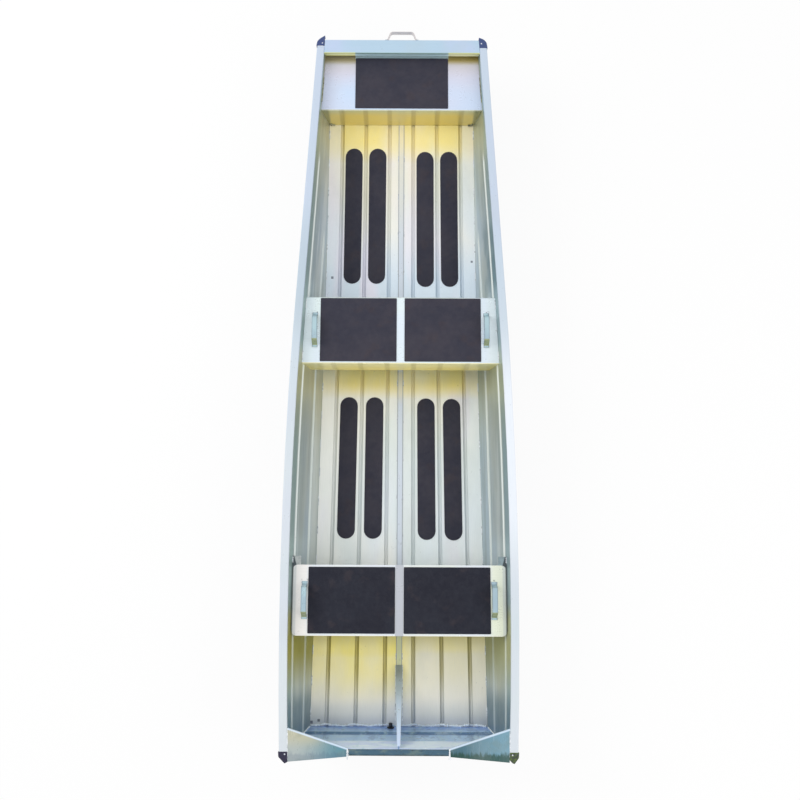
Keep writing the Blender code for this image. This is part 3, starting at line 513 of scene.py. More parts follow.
gunwale = Finish("gunwale_extrusion", tint(200, 214, 228), 0.30, 0.5)
top = gunwale.layers(
    tint(220, 228, 230),
    (gunwale.span(gunwale.y, -0.9, 0.9), tint(198, 213, 228)),
    (gunwale.patches(1.9, 3.0, 0.34, 0.66, 0.30, (1, 0.7, 1)), tint(204, 208, 236)),
    (gunwale.patches(1.3, 3.0, 0.52, 0.70, 0.30, (1, 0.7, 1)), tint(192, 216, 218)),
    (gunwale.both(gunwale.span(gunwale.x, 0.0, 0.1), gunwale.band(gunwale.y, -0.40, 0.25, 0.45)),
     tint(236, 242, 250)),
    (gunwale.both(gunwale.span(gunwale.x, 0.0, -0.1), gunwale.band(gunwale.y, 0.50, 0.10, 0.35), 0.6),
     tint(184, 200, 212)))
mill_finish(gunwale, top, GUNWALE_GRAIN)
dress(gunwale, "gunwale_left", "gunwale_right")

# Bow cap. A flat strip joins the two gunwales across the bow, folded down at its front and its back.
# Its aft face and the fold below its back edge carry a painted reflection of the deck: yellow at the
# ends, teal in the middle over the pad.

BOW_CAP_GRAIN = (1.2, 80, 80)
FOLD_HALF = 0.4080           # half the length of the fold at the back
FOLD_Y = 1.7262
FOLD_TOP = 0.4172
FOLD_FOOT = 0.3960
FOLD_THICK = 0.0020


def round_edges(bm, edges, radius, segments, clamp=False):
    """Rounds some edges with the bevel operator."""
    bmesh.ops.bevel(bm, geom=edges, offset=radius, segments=segments, profile=0.5, affect="EDGES",
                    material=-1, clamp_overlap=clamp)


def block(middle, size, radius, segments):
    """A block with rounded edges."""
    bm = bmesh.new()
    bmesh.ops.create_cube(bm, size=1.0, matrix=Matrix.Translation(middle) @ Matrix.Diagonal((*size, 1)))
    round_edges(bm, bm.edges[:], radius, segments)
    return bm


bow_cap = Finish("bow_cap_sheet", tint(186, 208, 230), 0.30, 0.5)
top = bow_cap.mix(bow_cap.patches(3.0, 3.0, 0.4, 0.6), tint(182, 208, 228), tint(192, 208, 236))
# Painted reflection of the deck on the aft face: yellow at the ends, teal over the pad.
back = bow_cap.mix(bow_cap.band(bow_cap.x, 0.0, BOW_PAD_HALF, 0.006),
                   tint(214, 220, 152), tint(150, 180, 178))
mill_finish(bow_cap, bow_cap.mix(bow_cap.span(bow_cap.facing[1], -0.4, -0.7), top, back), BOW_CAP_GRAIN)
dress(bow_cap, "bow_cap")

fold = Finish("bow_cap_fold", tint(226, 230, 180), 0.30, 0.15)
# Painted reflection of the deck on the fold: yellow, deeper towards its foot and paler on the right, and pale
# teal in front of the pad.
tone = fold.layers(
    tint(244, 246, 206),
    (fold.span(fold.z, FOLD_TOP, FOLD_FOOT), tint(214, 214, 128)),
    (fold.span(fold.x, -0.1, 0.1, 0.0, 0.6), tint(250, 250, 214)),
    (fold.band(fold.x, 0.0, BOW_PAD_HALF, 0.008), tint(206, 238, 246)))
mill_finish(fold, tone, BOW_CAP_GRAIN)
bm = block((0, FOLD_Y + FOLD_THICK / 2, (FOLD_TOP + FOLD_FOOT) / 2),
           (2 * FOLD_HALF, FOLD_THICK, FOLD_TOP - FOLD_FOOT), 0.0006, 2)
add_piece("bow_cap_fold", bm, fold)

# Corner caps. Moulded plastic covers, each fixed with one bright pan-head screw, close the corners
# where the gunwales meet the bow cap and the stern.

BOW_POINT = {-1: 0.0205, 1: 0.0110}   # how far a bow cover is drawn out at its inner end, left and right
STERN_TIP = {-1: 0.75, 1: 0.55}       # how far in a stern cover's point lies, as a share of its width
STERN_OUT = {-1: 0.026, 1: 0.024}     # how far forward of the point its outer end lies
STERN_IN = {-1: 0.008, 1: 0.020}      # how far forward of the point its inner end lies
COVER_SINK = 0.0014          # how far a cover's top is lowered, so that its screw stands proud
COVER_ROUND = 0.0022
SHORT_COVER = 0.0110         # how much further forward the left cover at the bow starts
SCREW_RADIUS = 0.0046
SCREW_HEIGHT = 0.0022
SCREW_IN = 0.0135            # from a cover's inner end to its screw
SCREW_ALONG = {"bow": 0.0235, "stern": 0.0110}
STUB = (0.0390, SHORT_COVER - 0.0008, 0.0290)   # the end of the gunwale that the short cover leaves bare
STUB_TOP = 0.4297


def merged(node, degrees):
    """A node's own mesh with its doubles merged and its flat faces made whole."""
    bm = bmesh.new()
    bm.from_mesh(nodes[node].data)
    bmesh.ops.remove_doubles(bm, verts=bm.verts, dist=0.00001)
    bmesh.ops.dissolve_limit(bm, angle_limit=math.radians(degrees), verts=bm.verts, edges=bm.edges)
    return bm


def sharp_edges(bm, degrees):
    """The edges at which two faces turn by more than some degrees."""
    bm.normal_update()
    return [edge for edge in bm.edges if edge.calc_face_angle(0) > math.radians(degrees)]


def mould_corner(node, end, turn):
    """A corner cover: the part's own mesh, drawn out to a soft point, with rounded edges."""
    bm = merged(node, 1)
    low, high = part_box(node)
    outer = max(abs(low.x), abs(high.x))
    inner = min(abs(low.x), abs(high.x))
    for vert in bm.verts:
        if vert.co.z > high.z - 0.0005:
            vert.co.z -= COVER_SINK
        inward = (outer - abs(vert.co.x)) / (outer - inner)
        if end == "bow":
            if turn < 0:
                vert.co.y += SHORT_COVER * (high.y - vert.co.y) / (high.y - low.y)
            ahead = max(0.0, (vert.co.y - low.y - 0.014) / (high.y - low.y - 0.014))
            vert.co.y += BOW_POINT[turn] * inward ** 1.5 * ahead
        else:
            tip = STERN_TIP[turn]
            past = max(0.0, (high.y - 0.020 - vert.co.y) / (high.y - low.y - 0.020))
            cut = max(STERN_OUT[turn] * (tip - inward) / tip, STERN_IN[turn] * (inward - tip) / (1 - tip))
            vert.co.y += past * cut
    round_edges(bm, sharp_edges(bm, 40), COVER_ROUND, 3, True)
    return bm


def add_screw(bm, spot):
    """Adds a pan-head screw with a round recess."""
    head = Matrix.Translation(spot + Vector((0, 0, SCREW_HEIGHT / 2)))
    made = bmesh.ops.create_cone(bm, cap_ends=True, segments=20, radius1=SCREW_RADIUS,
                                 radius2=SCREW_RADIUS * 0.8, depth=SCREW_HEIGHT, matrix=head)
    bm.normal_update()
    top = [face for vert in made["verts"] for face in vert.link_faces if face.normal.z > 0.9]
    top = list(dict.fromkeys(top))
    bmesh.ops.inset_region(bm, faces=top, thickness=SCREW_RADIUS * 0.42)
    bmesh.ops.translate(bm, vec=(0, 0, -SCREW_HEIGHT * 0.5),
                        verts=[vert for face in top for vert in face.verts])


plastic = Finish("black_plastic", tint(54, 62, 92), 0.40, 0.0, 0.4)
# Painted reflections on the black plastic: a patchy green on the right stern cover, and blue on the bow
# covers.
green_reflection = plastic.both(plastic.span(plastic.y, -1.0, -1.5), plastic.span(plastic.x, 0.0, 0.2),
                     plastic.span(plastic.noise(90.0, 3.0), 0.40, 0.60, 0.3, 1.0))
colour = plastic.layers(
    tint(38, 36, 60),
    (plastic.span(plastic.y, -0.5, 0.5), tint(58, 74, 120)),
    (green_reflection, tint(84, 102, 54)),
    (plastic.patches(55.0, 4.0, 0.55, 0.72, 0.35, rough=0.7), tint(96, 104, 124)))
plastic.show(colour, plastic.shine(120.0, 0.36, 0.54))
plastic.relief(plastic.noise(900.0, 2.0), 0.00015, 0.6)

screw_steel = Finish("screw_steel", tint(225, 230, 240), 0.18, 1.0)
colour = screw_steel.mix(screw_steel.patches(300.0, 2.0, 0.4, 0.7), tint(228, 232, 242), tint(176, 182, 190))
screw_steel.show(colour, screw_steel.shine(500.0, 0.12, 0.30))

bm = bmesh.new()
for end, turn in (("bow", -1), ("bow", 1), ("stern", -1), ("stern", 1)):
    name = end + ("_left" if turn < 0 else "_right")
    node = "corner_cap_" + name
    low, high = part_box(node)
    add_piece("corner_cover_" + name, mould_corner(node, end, turn), plastic, (node,))
    screw_x = low.x + SCREW_IN if turn > 0 else high.x - SCREW_IN
    screw_y = low.y + SCREW_ALONG[end] if end == "bow" else high.y - SCREW_ALONG[end]
    add_screw(bm, Vector((screw_x, screw_y, high.z - SCREW_HEIGHT)))
add_piece("corner_screws", bm, screw_steel)

low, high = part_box("corner_cap_bow_left")
middle = (high.x - 0.0016 - STUB[0] / 2, low.y + STUB[1] / 2, STUB_TOP - STUB[2] / 2)
add_piece("gunwale_tip", block(middle, STUB, 0.0018, 3), gunwale)

# Corner gussets. Sloping plates tie the gunwales to the transom, folded down along their forward edge
# and welded at both ends. They go from paler at their outer ends to teal towards the middle, carry a
# painted highlight along the fold, and are dark and ragged along their aft edges.

GUSSET_SLOPE = 0.3476        # how much further forward the fold lies per metre outwards
GUSSET_FOLD_Y = -1.7882      # where the fold starts beside the centre section
GUSSET_INNER_X = 0.2385      # x of a gusset's inner edge
GUSSET_INNER_WELD = ((0.2400, 0.004, 0.3762), (0.2400, 0.052, 0.3762))
GUSSET_OUTER_WELD = ((0.5165, 0.012, 0.4290), (0.5180, 0.148, 0.4290))


def seam(turn, *places):
    """Points of a seam on the left or the right, from places given for the right."""
    return [at(turn * x, s, z) for x, s, z in places]


gusset = Finish("gusset_sheet", tint(150, 176, 182), 0.28, 0.4)
outward = gusset.sum("ABSOLUTE", gusset.x)
toward_middle = gusset.span(outward, 0.50, 0.26)
left_tone = gusset.mix(toward_middle, tint(176, 186, 184), tint(92, 142, 158))
right_tone = gusset.mix(toward_middle, tint(120, 160, 178), tint(62, 104, 120))
warm = gusset.both(gusset.span(gusset.x, -0.30, -0.42), gusset.span(gusset.y, -1.80, -1.72, 0.0, 0.7))
fold_y = gusset.sum("ADD", gusset.both(outward, GUSSET_SLOPE), GUSSET_FOLD_Y - GUSSET_INNER_X * GUSSET_SLOPE)
past_fold = gusset.sum("SUBTRACT", gusset.y, fold_y)
ragged = gusset.sum("ADD", gusset.y, gusset.both(gusset.noise(95.0, 4.0, (1, 0.25, 1), 0.6), 0.060))
# Dark and ragged along the aft edge, more so on the right.
dark_ragged_edge = gusset.both(gusset.span(ragged, STERN_Y + 0.0740, STERN_Y + 0.0540),
                    gusset.span(gusset.x, -0.1, 0.1, 0.30, 0.85))
tone = gusset.layers(
    gusset.left_right(left_tone, right_tone),
    (warm, tint(200, 194, 156)),
    (gusset.patches(14.0, 4.0, 0.50, 0.66, 0.30), tint(120, 136, 128)),
    # Painted highlight along the edge of the fold.
    (gusset.span(past_fold, -0.011, -0.006, 0.0, 0.85), tint(218, 236, 255)),
    (dark_ragged_edge, gusset.left_right(tint(70, 92, 124), tint(18, 66, 48))))
mill_finish(gusset, tone)
dress(gusset, "transom_gusset_left", "transom_gusset_right")

bm = bmesh.new()
for turn in (-1, 1):
    lay_weld(bm, seam(turn, *GUSSET_INNER_WELD), width=0.011, rise=0.004, pitch=0.006, uneven=0.45)
    lay_weld(bm, seam(turn, *GUSSET_OUTER_WELD), width=0.005, rise=0.0018)
add_piece("gusset_welds", bm, weld)

# Knee and keelson strip. A T-shaped bracket braces the transom on the centreline, and a flat bar
# runs forward from its foot along the middle of the floor. Both are welded down.

KEELSON_LINE_X = 0.0135      # x of the two dark lines along the bar
KEELSON_LINE_TINT = tint(150, 156, 164)
KEELSON_WELD_X = 0.0158
KEELSON_STITCH = 0.03
KEELSON_STITCH_STEP = 0.203
KNEE_WELD = ((0.0175, 0.14, 0.0180), (0.0175, 0.41, 0.0180))

knee = Finish("knee_sheet", tint(214, 226, 242), 0.28, 0.4)
lower = knee.mix(knee.span(knee.y, -1.52, -1.46), tint(188, 204, 218), tint(160, 170, 172))
# Painted shade on the flange beside a bright middle strip, which narrows towards the transom.
core_half = knee.span(knee.y, -1.79, -1.47, 0.0072, 0.0160)
beside_core = knee.sum("SUBTRACT", knee.sum("ABSOLUTE", knee.x), core_half)
tone = knee.layers(
    tint(208, 226, 255),
    (knee.span(knee.y, -1.62, -1.52), lower),
    (knee.span(beside_core, -0.0008, 0.0012, 0.0, 0.75), tint(170, 178, 182)))
mill_finish(knee, tone)
dress(knee, "transom_knee")

keelson = Finish("keelson_bar", tint(214, 220, 230), 0.28, FLOOR_METAL)
# Painted warm light, as on the floor: behind the deck, behind the mid seat and towards the stern.
warm_light_fore = keelson.either(keelson.span(keelson.y, 1.15, 1.40, 0.0, 0.9),
                           keelson.span(keelson.y, 0.70, 1.25, 0.0, 0.4))
warm_light_mid = keelson.both(keelson.span(keelson.y, -0.10, 0.03, 0.0, 0.8),
                        keelson.span(keelson.y, 0.08, 0.12, 1.0, 0.0))
patchy = keelson.span(keelson.noise(5.0, 3.0), 0.3, 0.6, 0.6, 1.0)
colour = keelson.layers(
    tint(214, 223, 234),
    (keelson.both(keelson.either(warm_light_fore, warm_light_mid), patchy), tint(252, 234, 168)),
    (keelson.span(keelson.y, -1.18, -1.28, 0.0, 0.9), tint(206, 210, 158)),
    (keelson.band(keelson.x, KEELSON_LINE_X, 0.0012, 0.001), KEELSON_LINE_TINT),
    (keelson.band(keelson.x, -KEELSON_LINE_X, 0.0012, 0.001), KEELSON_LINE_TINT))
mill_finish(keelson, colour)
dress(keelson, "keelson_strip")

bm = bmesh.new()
for turn in (-1, 1):
    for s in stitches(0.44, 3.24, KEELSON_STITCH_STEP):
        ends = [at(turn * KEELSON_WELD_X, end, floor_z(end) + 0.0008) for end in (s, s + KEELSON_STITCH)]
        lay_weld(bm, ends, width=0.005, rise=0.0028)
add_piece("keelson_welds", bm, weld)

bm = bmesh.new()
for turn in (-1, 1):
    lay_weld(bm, seam(turn, *KNEE_WELD), width=0.0045, rise=0.0022)
add_piece("knee_welds", bm, weld)

# Drain plug. A turned plug of black rubber and plastic with a fluted grip screws into a flange low
# on the transom, beside the knee.

PLUG_X = -0.041
PLUG_Z = 0.040
FLANGE_RADIUS = 0.0178
FLANGE_THICK = 0.0040
GRIP_RADIUS = 0.0092
GRIP_LENGTH = 0.0195
FLUTES = 12
FLUTE_RADIUS = 0.86          # radius in a flute as a share of the grip's own

rubber = Finish("plug_rubber", tint(34, 36, 42), 0.5, 0.0, 0.4)
colour = rubber.mix(rubber.patches(200.0, 3.0, 0.5, 0.7), tint(32, 34, 40), tint(66, 68, 74))
rubber.show(colour, rubber.shine(300.0, 0.42, 0.62))
rubber.relief(rubber.noise(1200.0, 2.0), 0.0001, 0.5)

bm = bmesh.new()
bmesh.ops.create_cone(bm, cap_ends=True, segments=48, radius1=FLANGE_RADIUS, radius2=FLANGE_RADIUS * 0.94,
                      depth=FLANGE_THICK, matrix=Matrix.Translation((0, 0, FLANGE_THICK / 2)))
grip = bmesh.ops.create_cone(bm, cap_ends=True, segments=FLUTES * 4, radius1=GRIP_RADIUS * 1.05,
                             radius2=GRIP_RADIUS, depth=GRIP_LENGTH,
                             matrix=Matrix.Translation((0, 0, FLANGE_THICK + GRIP_LENGTH / 2)))["verts"]
for vert in grip:
    around = round(math.atan2(vert.co.y, vert.co.x) / math.tau * FLUTES * 4) % 4
    if around == 2:
        vert.co.x *= FLUTE_RADIUS
        vert.co.y *= FLUTE_RADIUS
round_edges(bm, sharp_edges(bm, 60), 0.0008, 2, True)
forwards = Vector((0, 1, TRANSOM_RAKE)).to_track_quat("Z", "Y").to_matrix().to_4x4()
bmesh.ops.transform(bm, matrix=Matrix.Translation(at(PLUG_X, transom_s(PLUG_Z) + 0.0006, PLUG_Z)) @ forwards,
                    verts=bm.verts)
add_piece("drain_plug_turned", bm, rubber, ("drain_plug",))

# Bow deck. A recessed sheet folded down to the floor at its aft edge. Its top is pale, darker where
# the bow panel shades it, and its upright aft face mirrors the warm floor in front of it.

DECK_AFT_Y = 1.430
DECK_FACE_S = 3.27           # s of the upright face
STRAKES = [GROOVE_STEP * (number + 0.5) for number in range(3)]
CORNER_X = 0.3850            # where the short welds at the upright face's upper corners start
CORNER_S = 3.2712
CORNER_WELDS = ((0.2035, 0.024), (0.212, 0.010))   # their heights and lengths
DECK_SIDE_WELD = ((0.4208, 3.32, 0.3712), (0.416551, 3.39, 0.3712), (0.412302, 3.46, 0.3712))


def mirror_strakes(finish, riser, s, share, colour):
    """An upright face that mirrors the strakes of the floor as darker bars."""
    for strake in STRAKES:
        bar = finish.band(finish.sum("ABSOLUTE", finish.x), strake * 2 * floor_half(s), 0.008, 0.009)
        riser = finish.mix(finish.both(bar, share), riser, colour)
    return riser


deck = Finish("deck_sheet", tint(212, 220, 238), 0.28, 0.35)
upright = deck.span(deck.facing[1], -0.5, -0.8)
shaded = deck.either(deck.span(deck.y, 1.675, 1.722), deck.span(deck.y, 1.60, 1.72, 0.0, 0.25))
# Painted light, pale teal, on the strip of deck in front of the pad, under the bow cap.
middle = deck.both(deck.band(deck.x, 0.0, BOW_PAD_HALF + 0.002, 0.004), deck.span(deck.y, 1.720, 1.726))
top = deck.layers(
    tint(204, 222, 246),
    (deck.span(deck.y, 1.52, 1.66), tint(212, 214, 232)),
    (deck.patches(2.0, 2.0, 0.40, 0.60, 0.35), tint(222, 214, 228)),
    (shaded, deck.left_right(tint(184, 171, 130), tint(190, 170, 96))),
    (middle, tint(228, 252, 255)),
    # Painted highlight along the aft edge.
    (deck.span(deck.y, DECK_AFT_Y + 0.006, DECK_AFT_Y + 0.001), tint(242, 245, 244)))
riser = deck.mix(deck.span(deck.z, 0.30, 0.37), tint(232, 212, 130), tint(206, 208, 172))
riser = mirror_strakes(deck, riser, DECK_FACE_S, 0.30, tint(150, 140, 96))
riser = deck.mix(deck.span(deck.sum("ABSOLUTE", deck.x), 0.378, 0.392, 0.0, 0.8), riser, tint(158, 160, 126))
mill_finish(deck, deck.mix(upright, top, riser), CROSSWISE, deck.both(upright, 0.12))
dress(deck, "bow_deck")

burnt_weld = weld_metal("burnt_weld", tint(120, 122, 96), 0.50, 0.2, (90.0, 3.0, 0.42, 0.62),
                        tint(172, 172, 138), tint(84, 84, 66), (0.35, 0.60))
bm = bmesh.new()
for turn in (-1, 1):
    for height, length in CORNER_WELDS:
        lay_weld(bm, seam(turn, (CORNER_X, CORNER_S, height), (CORNER_X - length, CORNER_S, height - 0.004)),
                 width=0.012, rise=0.009, pitch=0.006, uneven=0.35)
    lay_weld(bm, seam(turn, *DECK_SIDE_WELD), width=0.005, rise=0.0028)
add_piece("deck_welds", bm, burnt_weld)

# Seats. Two thwarts of folded 2 mm sheet. The mid one is welded to the sides, and the aft one, with
# round corners, sits on a bracket at each side. Their upright faces mirror the floor.

SEAT_TINTS = {
    "mid_seat": (tint(224, 236, 246), tint(228, 242, 242), tint(232, 246, 252), tint(230, 242, 246)),
    "aft_seat": (tint(226, 232, 240), tint(232, 238, 232), tint(248, 244, 238), tint(236, 242, 216))}
HANDLE_X = {"mid_seat": 0.4335, "aft_seat": 0.458}   # where the handles stand on each seat
SEAT_Z = 0.360
SEAT_WELDS = (((0.4956, 1.925, SEAT_Z), (0.4933, 1.970, SEAT_Z)),
              ((0.4825, 2.195, SEAT_Z), (0.4802, 2.240, SEAT_Z)),
              ((0.5190, 0.915, 0.3570), (0.5188, 0.942, 0.3570)))

for name, (plain, clouded, left_end, right_end) in SEAT_TINTS.items():
    low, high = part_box(name)
    seat = Finish(name + "_sheet", plain, 0.28, 0.35)
    upright = seat.span(seat.facing[1], -0.5, -0.8)
    outward = seat.sum("ABSOLUTE", seat.x)
    soot = seat.both(seat.patches(70.0, 3.0, 0.50, 0.60),
                     seat.band(seat.y, (low.y + high.y) / 2 + 0.090, 0.004, 0.010),
                     seat.band(outward, HANDLE_X[name], 0.012, 0.008), 0.8)
    top = seat.layers(
        plain,
        (seat.patches(3.2, 3.0, 0.38, 0.62), clouded),
        (seat.span(seat.x, -0.42, -0.46, 0.0, 0.8), left_end),
        (seat.span(seat.x, 0.42, 0.46, 0.0, 0.8), right_end),
        # Painted highlight along the aft edge of the top.
        (seat.span(seat.y, low.y + 0.005, low.y + 0.001, 0.0, 0.8), tint(244, 244, 232)),
        (soot, tint(70, 74, 84)))
    if name == "aft_seat":
        top = seat.layers(
            top,
            (seat.band(seat.x, 0.0, 0.019, 0.002), tint(188, 192, 200)),
            # Painted shade where the top would turn down near each end, and painted shadow of the gap to the
            # side wall along the very edge.
            (seat.span(outward, 0.496, 0.504, 0.0, 0.6), tint(192, 200, 202)),
            (seat.span(outward, 0.5130, 0.5145, 0.0, 0.8), tint(84, 92, 90)))
    riser = seat.mix(seat.span(seat.z, 0.21, SEAT_Z), tint(250, 236, 150), tint(254, 248, 190))
    riser = mirror_strakes(seat, riser, low.y - STERN_Y, 0.35, tint(186, 178, 112))
    mill_finish(seat, seat.mix(upright, top, riser), CROSSWISE, seat.both(upright, 0.12))
    dress(seat, name)

bracket = Finish("bracket_sheet", tint(184, 196, 200), 0.30, 0.4)
hook = bracket.sum("ADD", bracket.sum("ABSOLUTE", bracket.x), bracket.both(bracket.y, -0.30))
tone = bracket.layers(
    bracket.left_right(tint(184, 190, 188), tint(146, 166, 172)),
    (bracket.patches(45.0, 3.0, 0.4, 0.6, 0.5), tint(130, 142, 144)),
    # Painted shade over the outer part of the tab.
    (bracket.span(hook, 0.7795, 0.7835), tint(70, 80, 84)))
mill_finish(bracket, tone)
dress(bracket, "aft_seat_bracket_left", "aft_seat_bracket_right")

bm = bmesh.new()
for turn in (-1, 1):
    for places in SEAT_WELDS:
        lay_weld(bm, seam(turn, *places), width=0.006, rise=0.004)
add_piece("seat_welds", bm, weld)

# Handles. Five flat straps, 27 mm by 4.5 mm, are bent to stand 50 mm high and welded down by their feet,
# one on the bow and one at each end of both seats.

STRAP_WIDTH = 0.027
STRAP_THICK = 0.0045
STRAP_ROUND = 0.0011
HANDLE_LENGTH = 0.180
HANDLE_HEIGHT = 0.050
HANDLE_BEND = 0.010
LEG_FOOT = 0.0745            # from a handle's middle to the foot of a leg
LEG_HEAD = 0.0575            # from its middle to the head of a leg
BOW_STRAP_TINT = tint(216, 210, 210)


def bend_strap():
    """One handle, with its length along x and its feet on z = 0."""
    bm = bmesh.new()
    end = HANDLE_LENGTH / 2
    clear = HANDLE_HEIGHT - STRAP_THICK
    outline = ((-end, 0), (-LEG_FOOT, 0), (-LEG_HEAD, clear), (LEG_HEAD, clear), (LEG_FOOT, 0), (end, 0))
    points = [bm.verts.new((x, -STRAP_WIDTH / 2, z)) for x, z in outline]
    wires = [bm.edges.new(pair) for pair in zip(points, points[1:])]
    ribbon = bmesh.ops.extrude_edge_only(bm, edges=wires)["geom"]
    far_side = [item for item in ribbon if isinstance(item, bmesh.types.BMVert)]
    bmesh.ops.translate(bm, vec=(0, STRAP_WIDTH, 0), verts=far_side)
    bm.normal_update()
    round_edges(bm, [edge for edge in bm.edges if len(edge.link_faces) == 2], HANDLE_BEND, 6)
    bmesh.ops.solidify(bm, geom=bm.faces, thickness=STRAP_THICK)
    round_edges(bm, sharp_edges(bm, 60), STRAP_ROUND, 2, True)
    lowest = min(vert.co.z for vert in bm.verts)
    bmesh.ops.translate(bm, vec=(0, 0, -lowest), verts=bm.verts)
    return bm


def weld_feet():
    """Welds along both edges of both feet, in the same frame as the strap."""
    bm = bmesh.new()
    for turn in (-1, 1):
        for edge in (-STRAP_WIDTH / 2, STRAP_WIDTH / 2):
            ends = [Vector((turn * x, edge, 0.0012)) for x in (LEG_FOOT + 0.004, HANDLE_LENGTH / 2 - 0.0005)]
            lay_weld(bm, ends, width=0.005, rise=0.004, pitch=0.004, uneven=0.3)
    return bm


strap = Finish("handle_alloy", tint(176, 200, 208), 0.28, 0.5)
centre = strap.span(strap.y, -0.4, -0.2, HANDLE_X["aft_seat"], HANDLE_X["mid_seat"])
rim = strap.sum("ABSOLUTE", strap.sum("SUBTRACT", strap.sum("ABSOLUTE", strap.x), centre))
colour = strap.layers(
    tint(176, 204, 212),
    (strap.patches(9.0, 3.0, 0.4, 0.6), tint(164, 188, 200)),
    # Painted shade along both edges of the strap.
    (strap.span(rim, 0.0085, 0.0125, 0.0, 0.6), tint(112, 128, 142)),
    # Painted reflection, dull green, on the faces that look aft.
    (strap.span(strap.facing[1], -0.30, -0.55), tint(158, 168, 130)))
mill_finish(strap, colour, (60, 3, 60))

bow_strap = Finish("bow_handle_alloy", BOW_STRAP_TINT, 0.30, 0.6)
mill_finish(bow_strap, BOW_STRAP_TINT, (3, 60, 60))

for place in ("bow", "mid_left", "mid_right", "aft_left", "aft_right"):
    low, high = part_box("handle_" + place)
    middle = (low + high) / 2
    if place == "bow":
        pose = Matrix.Translation((middle.x, low.y, middle.z)) @ Matrix.Rotation(math.radians(-90), 4, "X")
    else:
        pose = Matrix.Translation((middle.x, middle.y, low.z)) @ Matrix.Rotation(math.radians(90), 4, "Z")
    bm = bend_strap()
    bmesh.ops.transform(bm, matrix=pose, verts=bm.verts)
    alloy = bow_strap if place == "bow" else strap
    add_piece("strap_" + place, bm, alloy, ("handle_" + place,))
    bm = weld_feet()
    bmesh.ops.transform(bm, matrix=pose, verts=bm.verts)
    add_piece("strap_welds_" + place, bm, weld)

# Pads. Sheets of black non-slip foam 3 mm thick, glued to the deck, the seats and the floor. The floor
# pads have round ends and follow the flats between the strakes.

PAD_EDGE = 0.0009
PAD_TINTS = {"fore": (tint(62, 60, 70), tint(54, 54, 66)), "aft": (tint(40, 42, 52), tint(36, 37, 47))}
PAD_SLIP = {"floor_pad_fore_3": 0.016, "floor_pad_fore_4": 0.015,
            "floor_pad_aft_3": 0.005, "floor_pad_aft_4": 0.007}


def is_rim(edge):
    """Whether an edge lies between an upper face and an upright one."""
    return sorted(face.normal.z > 0.7 for face in edge.link_faces) == [False, True]


def cut_pad(node):
    """A pad with the edge of its upper face rounded. Floor pads on the right lie a little further aft."""
    bm = merged(node, 0.4)
    round_edges(bm, [edge for edge in bm.edges if is_rim(edge)], PAD_EDGE, 3, True)
    slip = PAD_SLIP.get(node, 0.0)
    for vert in bm.verts:
        s = vert.co.y - STERN_Y
        vert.co.z += floor_z(s - slip) - floor_z(s)
        vert.co.y -= slip
    return bm


for kind, (light, dark) in PAD_TINTS.items():
    foam = Finish("pad_foam_" + kind, light, 0.85, 0.0, 0.22)
    colour = foam.layers(
        light,
        (foam.patches(7.0, 4.0, 0.35, 0.65, rough=0.6), dark),
        (foam.patches(13.0, 3.0, 0.55, 0.70, 0.3), tint(70, 60, 62)),
        (foam.span(foam.cells(700.0), 0.10, 0.40, 0.35, 0.0), tint(92, 92, 100)))
    foam.show(colour, foam.shine(40.0, 0.72, 0.92, 3.0))
    foam.relief(foam.sum("ADD", foam.cells(620.0), foam.noise(1500.0, 2.0)), 0.0005, 0.7)
    for node in nodes:
        if "pad" in node and (node.startswith("aft_seat") == (kind == "aft")):
            pad = add_piece("foam_" + node, cut_pad(node), foam, (node,), 50)

# Studio. The camera looks down from above the stern onto a plain pale floor, under soft light.

FOCAL = 46.8
CAMERA_AT = (0.0032, -1.09715, 5.47)
CAMERA_TILT = 10.8
CAMERA_ROLL = 0.27
GROUND_SIZE = 14.0
FLOOR_GLOW = 0.90            # share of the studio floor that is plain white to the camera
SKY_LIGHT = 0.8              # strength of the sky as a light
SKY_SEEN = 1.0               # strength of the sky as the camera and mirrors see it
LAMPS = (("key_lamp", (-4.6, 1.6, 4.6), 165.0), ("fill_lamp", (4.8, -2.2, 4.2), 90.0))
LAMP_SIZE = 3.5
LAMP_AIM = Vector((0, 0, 0.2))

camera = bpy.data.objects.new("camera", bpy.data.cameras.new("camera"))
camera.data.lens = FOCAL
camera.location = CAMERA_AT
camera.rotation_euler = (math.radians(CAMERA_TILT), 0, math.radians(CAMERA_ROLL))
bpy.context.scene.collection.objects.link(camera)
bpy.context.scene.camera = camera

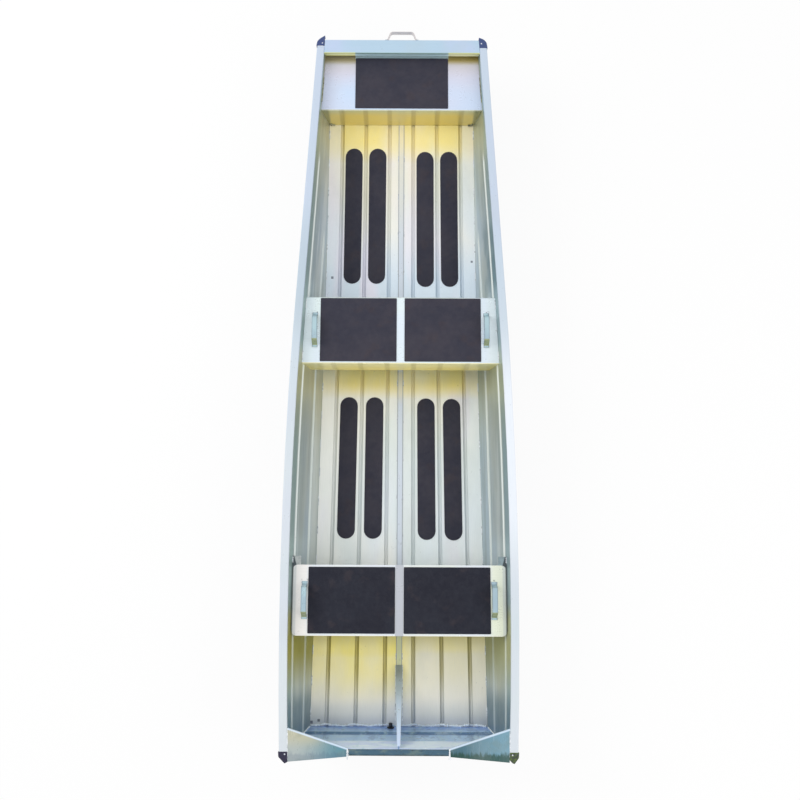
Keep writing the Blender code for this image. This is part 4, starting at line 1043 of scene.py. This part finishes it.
bm = bmesh.new()
bmesh.ops.create_grid(bm, x_segments=1, y_segments=1, size=GROUND_SIZE)
mesh = bpy.data.meshes.new("studio_floor")
bm.to_mesh(mesh)
bm.free()
studio_floor = bpy.data.objects.new("studio_floor", mesh)
bpy.context.scene.collection.objects.link(studio_floor)
ground = Finish("studio_floor", (0.86, 0.86, 0.86), 0.9, 0.0)
glow = ground.tree.nodes.new("ShaderNodeEmission")
blend = ground.tree.nodes.new("ShaderNodeMixShader")
ray = ground.tree.nodes.new("ShaderNodeLightPath").outputs
seen = ground.either(ray["Is Camera Ray"], ray["Is Glossy Ray"], ray["Is Transmission Ray"])
ground.tree.links.new(ground.both(seen, FLOOR_GLOW), blend.inputs["Fac"])
ground.tree.links.new(ground.shader.outputs[0], blend.inputs[1])
ground.tree.links.new(glow.outputs[0], blend.inputs[2])
ground.tree.links.new(blend.outputs[0], ground.tree.nodes["Material Output"].inputs["Surface"])
mesh.materials.append(ground.material)

world = bpy.data.worlds.new("studio")
bpy.context.scene.world = world
world.use_nodes = True
sky = world.node_tree
ray = sky.nodes.new("ShaderNodeLightPath").outputs
seen = ray["Is Camera Ray"]
for kind in ("Is Glossy Ray", "Is Transmission Ray"):
    larger = sky.nodes.new("ShaderNodeMath")
    larger.operation = "MAXIMUM"
    sky.links.new(seen, larger.inputs[0])
    sky.links.new(ray[kind], larger.inputs[1])
    seen = larger.outputs[0]
strength = sky.nodes.new("ShaderNodeMapRange")
strength.inputs["To Min"].default_value = SKY_LIGHT
strength.inputs["To Max"].default_value = SKY_SEEN
sky.links.new(seen, strength.inputs["Value"])
sky.links.new(strength.outputs["Result"], sky.nodes["Background"].inputs["Strength"])
sky.nodes["Background"].inputs["Color"].default_value = (1, 1, 1, 1)

for name, spot, power in LAMPS:
    lamp = bpy.data.objects.new(name, bpy.data.lights.new(name, "AREA"))
    lamp.data.shape = "SQUARE"
    lamp.data.size = LAMP_SIZE
    lamp.data.energy = power
    lamp.location = spot
    lamp.visible_glossy = False
    lamp.rotation_euler = (LAMP_AIM - Vector(spot)).to_track_quat("-Z", "Y").to_euler()
    bpy.context.scene.collection.objects.link(lamp)

bpy.context.scene.view_settings.view_transform = "Standard"
